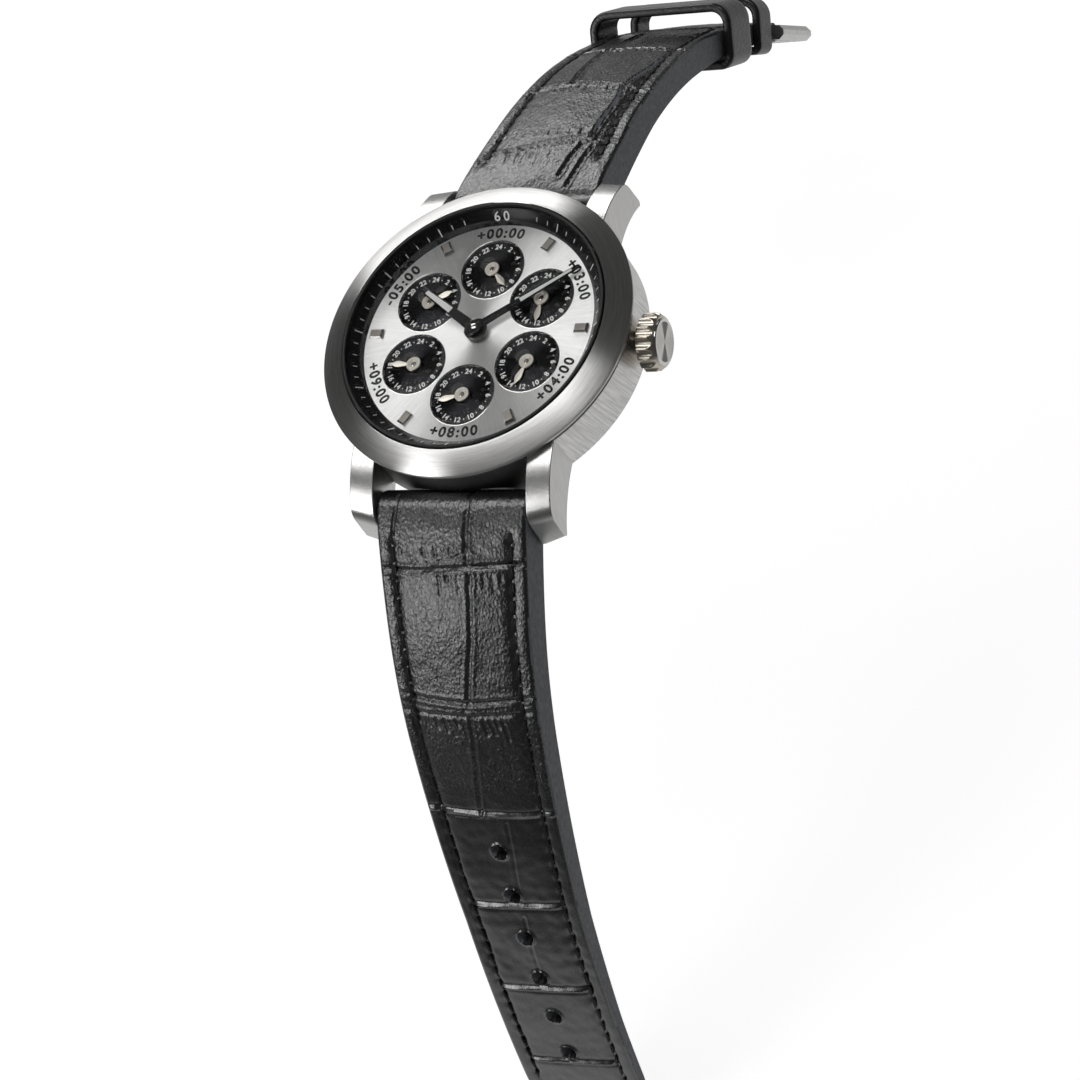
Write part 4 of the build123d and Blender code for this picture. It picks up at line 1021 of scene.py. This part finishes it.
# %% Leather materials
def leather_finish(name, colour, roughness, pebble, wrinkle, depth, map_name="strap_map", specular=0.6, index=1.5,
                   glazed=None):
    """Grained leather. Where glazed gives two lengths, the grain fades out along the strap between them. On the
    roll it is faint."""
    material, tree, shader = new_finish(name, colour, roughness, 0.0, **{"Specular IOR Level": specular, "IOR": index})
    flat = put(tree, "UVMap", uv_map=map_name)
    spot = put(tree, "Mapping", {"Vector": flat, "Scale": (100, 100, 100)})
    grain = use(tree, leather_grain, {"Place": spot, "Pebble": pebble, "Wrinkle": wrinkle})
    shade = grain.outputs["Shade"]
    tint(tree, shader, colour, span(tree, shade, (0.3, 0.7), (0.75, 1.3)))
    feed(tree, shader, "Roughness", span(tree, shade, (0.3, 0.7), (roughness + 0.07, roughness - 0.06)))
    height = grain.outputs["Height"]
    if glazed:
        parts = put(tree, "SeparateXYZ", {0: spot})
        fade = span(tree, parts.outputs["Y"], glazed, (1.0, 0.12))
        rise = span(tree, parts.outputs["Y"], (-1.0, 0.6), (0.2, 1.0))
        height = calc(tree, "MULTIPLY", height, calc(tree, "MULTIPLY", fade, rise))
    relief(tree, shader, height, depth)
    return material


top_leather = leather_finish("scaled_leather", (0.006, 0.006, 0.0065), 0.27, 3.2, 1.2, 0.000075,
                             specular=0.57, index=2.0, glazed=(38.0, 43.0))
lining_leather = leather_finish("lining_leather", (0.022, 0.022, 0.023), 0.5, 5.5, 0.3, 0.00003)
edge_paint = leather_finish("edge_paint", (0.26, 0.27, 0.30), 0.55, 2.5, 1.0, 0.00002)
thread_black, tree, shader = new_finish("waxed_thread", (0.008, 0.008, 0.008), 0.5)
twist_place = put(tree, "Mapping", {"Vector": place_in_mm(tree), "Rotation": (0.6, 0.3, 0.5)})
twist = put(tree, "TexWave", {"Vector": twist_place, "Scale": 1.6, "Distortion": 1.0})
relief(tree, shader, twist.outputs["Fac"], 0.00006)
print("leather and thread", thread_black.name)


def swept(section, start, end, rows):
    """A closed cross-section of (across, height) points swept straight along Y, closed at both ends."""
    bm = bmesh.new()
    spots, edges = outline(bm, [(x, start, z) for x, z in section])
    first = bm.faces.new(spots)
    bmesh.ops.spin(bm, geom=spots + edges, cent=(0, 0, 0), axis=(0, 0, 1), dvec=(0, (end - start) / rows, 0),
                   angle=0, steps=rows)
    last = [edge for edge in bm.edges if len(edge.link_faces) == 1
            and all(abs(spot.co.y - end) < 0.001 for spot in edge.verts)]
    bmesh.ops.contextual_create(bm, geom=last)
    face_out(bm)
    return bm


def map_flat(bm, name="strap_map"):
    """Writes the flat place of each corner, in tenths of a metre, as the piece's own UV map."""
    flat = bm.loops.layers.uv.new(name)
    for face in bm.faces:
        steep = abs(face.normal.x) > 0.7
        for corner in face.loops:
            x, y, z = corner.vert.co
            corner[flat].uv = ((x + (z if steep else 0)) / 100, y / 100)


hole_start, hole_pitch, hole_count, hole_r = 49.1, 7.4, 6, 1.1
slot_half, slot_length = 1.4, 3.2


def edge_side(face):
    """The painted edge is the second material."""
    return abs(face.normal.x) > 0.75


def top_skin(name, half, body, nodes):
    """The embossed upper leather with its painted edge."""
    across = 126
    section = [(-1 + 2 * n / across, 0) for n in range(across + 1)]
    section += [(1, -0.35), (1, -1), (0, -1), (-1, -1), (-1, -0.35)]
    start, end = -roll * roll_turns + 0.2, half["length"] - 0.15
    bm = swept(section, start, end, int((end - start) / (0.23)))
    tops, rows = [], {}
    for spot in bm.verts:
        share, along, level = spot.co
        row = round(along, 2)
        if row not in rows:
            rows[row] = (half_width(half, along), dome(half, along),
                         thickness(half, along) - lining_t * off_roll(along))
        wide, rise, deep = rows[row]
        if level == 0:
            tops.append(spot)
            edge_drop = 0.3 * max(0.0, (abs(share) * wide - (wide - 0.5)) / 0.5) ** 2
            spot.co = (share * wide, along, rise * section_shape(share) - edge_drop)
        elif level > -0.9:
            spot.co = (share * wide, along, -0.62)
        else:
            spot.co = (share * wide, along, -deep)
    bm.normal_update()
    map_flat(bm)
    x = np.array([spot.co.x for spot in tops])
    s = np.array([spot.co.y for spot in tops])
    wide = np.array([rows[round(along, 2)][0] for along in s])
    margin = np.clip((wide - np.abs(x)) / 0.8, 0, 1)
    rise = crease_height(half, x, s) * margin
    off = np.abs(np.abs(x) - (wide - stitch_inset))
    stitched = np.clip((s - half["stitch_from"] + 1) / 1.5, 0, 1) * np.clip((half["stitch_to"] + 1 - s) / 1.5, 0, 1)
    pull = 0.75 - 0.25 * np.cos(math.tau * (s - half["stitch_from"]) / stitch_pitch)
    rise -= 0.3 * stitched * pull * np.exp(-(off / 0.5) ** 2)
    rise -= 0.12 * stitched * np.exp(-(off / 1.1) ** 2)
    rise = np.where(s < 1.2, np.minimum(rise, 0), rise)
    margin = margin * np.clip((s - 0.6) / 2.4, 0, 1)
    for n, spot in enumerate(tops):
        soft = noise.noise(Vector((x[n] * 0.16, s[n] * 0.16, 3.0))) * 0.16
        fine = noise.noise(Vector((x[n] * 0.7, s[n] * 0.7, 9.0))) * 0.05
        spot.co.z += rise[n] + (soft + fine) * margin[n]
        if half is short_half and abs(x[n]) < slot_half and s[n] > half["length"] - slot_length:
            spot.co.z = -1.9
    bend_on_path(bm, half)
    for n in range(hole_count if half["side"] < 0 else 0):
        punch(bm, half, hole_start + n * hole_pitch)
    finish(bm, name, body, [top_leather, edge_paint], nodes, "leather", crease=50, choose=edge_side)


def punch(bm, half, along):
    """Sinks a hole with a raised rim into the skin round one place of the path."""
    y, z, slope = path_at(half, along)
    middle = Vector((0, half["side"] * y, z))
    out = Vector((0, half["side"] * math.sin(slope), math.cos(slope)))
    for spot in bm.verts:
        gap = spot.co - middle
        if abs(gap.x) > 2.2 or abs(gap.z) > 3:
            continue
        lift = gap.dot(out)
        flat = (gap - out * lift).length
        if lift > -0.4 and flat < 2.2:
            if flat < hole_r:
                spot.co -= out * (1.3 * min(1.0, (hole_r - flat) / 0.2))
            else:
                spot.co += out * 0.2 * math.exp(-((flat - hole_r - 0.15) / 0.16) ** 2)


def lining_skin(name, half, body, nodes):
    """The smooth leather under it, from past the roll to the end."""
    section = [(-1, 0), (0, 0), (1, 0), (1, -0.8), (0.97, -1), (0.5, -1.02), (0, -1.03), (-0.5, -1.02), (-0.97, -1),
               (-1, -0.8)]
    start, end = 3.2, half["length"] - (0.3 if half["tip"] else 2.4)
    bm = swept(section, start, end, int((end - start) / 0.8))
    for spot in bm.verts:
        share, along, level = spot.co
        deep = thickness(half, along)
        spot.co = (share * (half_width(half, along) - 0.03), along,
                   -(deep - lining_t) - 0.01 + level * lining_t * 0.97)
    bm.normal_update()
    map_flat(bm)
    bend_on_path(bm, half)
    finish(bm, name, body, [lining_leather, edge_paint], nodes, "lining", crease=50, choose=edge_side)


def thread(name, half, body):
    """The two rows of stitches, narrower towards the end."""
    bm = bmesh.new()
    count = int((half["stitch_to"] - half["stitch_from"]) / stitch_pitch)
    for n in range(count + 1):
        along = half["stitch_from"] + n * stitch_pitch
        wide = half_width(half, along)
        for side in (-1, 1):
            across = side * (wide - stitch_inset)
            high = dome(half, along) * section_shape(across / wide) - 0.26
            size = Matrix.Diagonal((np.interp(along, (10, 40, 90), (0.48, 0.34, 0.22)), 1.05, 0.26, 1))
            bmesh.ops.create_uvsphere(bm, u_segments=8, v_segments=6, radius=1,
                                      matrix=Matrix.Translation((across, along, high)) @ turn_by(6 * side) @ size)
    bend_on_path(bm, half)
    finish(bm, name, body, thread_black)


def end_roll():
    """The end of the short half, turned round the buckle's bar on both sides of the tang's slot."""
    radius = 1.48
    part = half_width(short_half, short_half["length"]) - slot_half
    bm = bmesh.new()
    for side in (-1, 1):
        middle = Matrix.Translation((side * (slot_half + part / 2), short_half["length"], -1.5))
        bmesh.ops.create_cone(bm, cap_ends=True, segments=48, radius1=radius, radius2=radius, depth=part,
                              matrix=middle @ turn_by(90, "Y"))
    soften(bm, 0.15)
    map_flat(bm)
    bend_on_path(bm, short_half)
    finish(bm, "strap_12_end_roll", "strap_12", [top_leather, edge_paint], ["strap_12_leather"], "leather",
           choose=edge_side)


# %% Two strap halves
top_skin("strap_6_skin", long_half, "strap_6", ["strap_6_leather"])
lining_skin("strap_6_lining_skin", long_half, "strap_6", ["strap_6_lining"])
thread("strap_6_thread", long_half, "strap_6")
top_skin("strap_12_skin", short_half, "strap_12", ["strap_12_leather"])
lining_skin("strap_12_lining_skin", short_half, "strap_12", ["strap_12_lining"])
thread("strap_12_thread", short_half, "strap_12")
end_roll()

# %% [markdown]
# ## Keepers
# A keeper is a band of smooth leather closed into a loop. Its inside is a rectangle with rounded corners,
# swept by the band's width, given its thickness outwards and softened at every edge.

# %% Keepers
keeper_leather = leather_finish("keeper_leather", (0.014, 0.014, 0.015), 0.3, 2.2, 1.0, 0.00003, "band_map")


def keeper(name, body, node, along, wide_band, play, thick=1.3, room=2.4):
    """A loop round the short half. Play is its gap to the strap, and room is left above for the tip."""
    half_w = half_width(short_half, along - wide_band / 2) + play
    low = -thickness(short_half, along - wide_band / 2) - play
    high = dome(short_half, along) + room
    bm = bmesh.new()
    spots, edges = outline(bm, [(-half_w, -wide_band / 2, low), (half_w, -wide_band / 2, low),
                                (half_w, -wide_band / 2, high), (-half_w, -wide_band / 2, high)])
    for pair, radius in ((spots[2:], 1.8), (spots[:2], 2 * play)):
        bmesh.ops.bevel(bm, geom=pair, offset=radius, affect="VERTICES", segments=8, profile=0.5, material=-1)
    bmesh.ops.spin(bm, geom=bm.verts[:] + bm.edges[:], cent=(0, 0, 0), axis=(0, 0, 1), dvec=(0, wide_band / 8, 0),
                   angle=0, steps=8)
    face_out(bm)
    middle = Vector((0, 0, (low + high) / 2))
    if sum(face.normal.dot(face.calc_center_median() - middle) for face in bm.faces) > 0:
        bmesh.ops.reverse_faces(bm, faces=bm.faces)
    bmesh.ops.solidify(bm, geom=bm.faces[:], thickness=thick)
    face_out(bm)
    soften(bm, 0.4, 3, 60)
    flat = bm.loops.layers.uv.new("band_map")
    for face in bm.faces:
        for corner in face.loops:
            x, y, z = corner.vert.co
            corner[flat].uv = ((x + z) / 100, y / 100)
    y, z, slope = path_at(short_half, along)
    bmesh.ops.transform(bm, matrix=Matrix.Translation((0, y, z)) @ Matrix.Rotation(-slope, 4, "X"), verts=bm.verts)
    finish(bm, name, body, keeper_leather, [node], "leather")


keeper("free_keeper_band", "free_keeper", "free_keeper", 58.7, 8.0, 0.45)
keeper("fixed_keeper_band", "strap_12", "fixed_keeper", 70.8, 5.0, 0.06)

# %% [markdown]
# ## Nodes that keep their solids
# The case back, the bars and the buckle keep their CAD solids and get satin or polished steel. Inside the
# closed case the plates are plated, the wheels are plain machined brass, and the gaskets are rubber.

# %% Finishes of the other solids
brass = satin_steel("machined_brass", "round", (0.72, 0.55, 0.27), 0.32, 0.3)
plated = satin_steel("plated_brass", "straight", (0.62, 0.6, 0.56), 0.34, 0.0)
rubber_black = leather_finish("gasket_rubber", (0.02, 0.02, 0.02), 0.7, 8.0, 0.3, 0.00001)
dress("case_back", back_satin)
dress("case_tube", polished("tube_steel", (0.30, 0.27, 0.23), 0.25))
for node in ("spring_bar_12", "spring_bar_6", "buckle_bar", "buckle_frame", "buckle_tang", "bridge_screws",
             "winding_stem", "setting_lever", "cannon_pinion"):
    dress(node, steel_shine if node != "buckle_frame" else back_satin)
for node in ("case_back_gasket", "crystal_gasket", "crown_seal"):
    dress(node, rubber_black)
for node in ("train_bridge", "main_plate", "movement_block", "movement_holder"):
    dress(node, plated)
for node in ["hour_wheel", "zone_drive_pinion", "minute_wheel"] + [
        f"{kind}_{place:02d}" for kind in ("zone_wheel", "idler") for place in zone_places]:
    dress(node, brass)
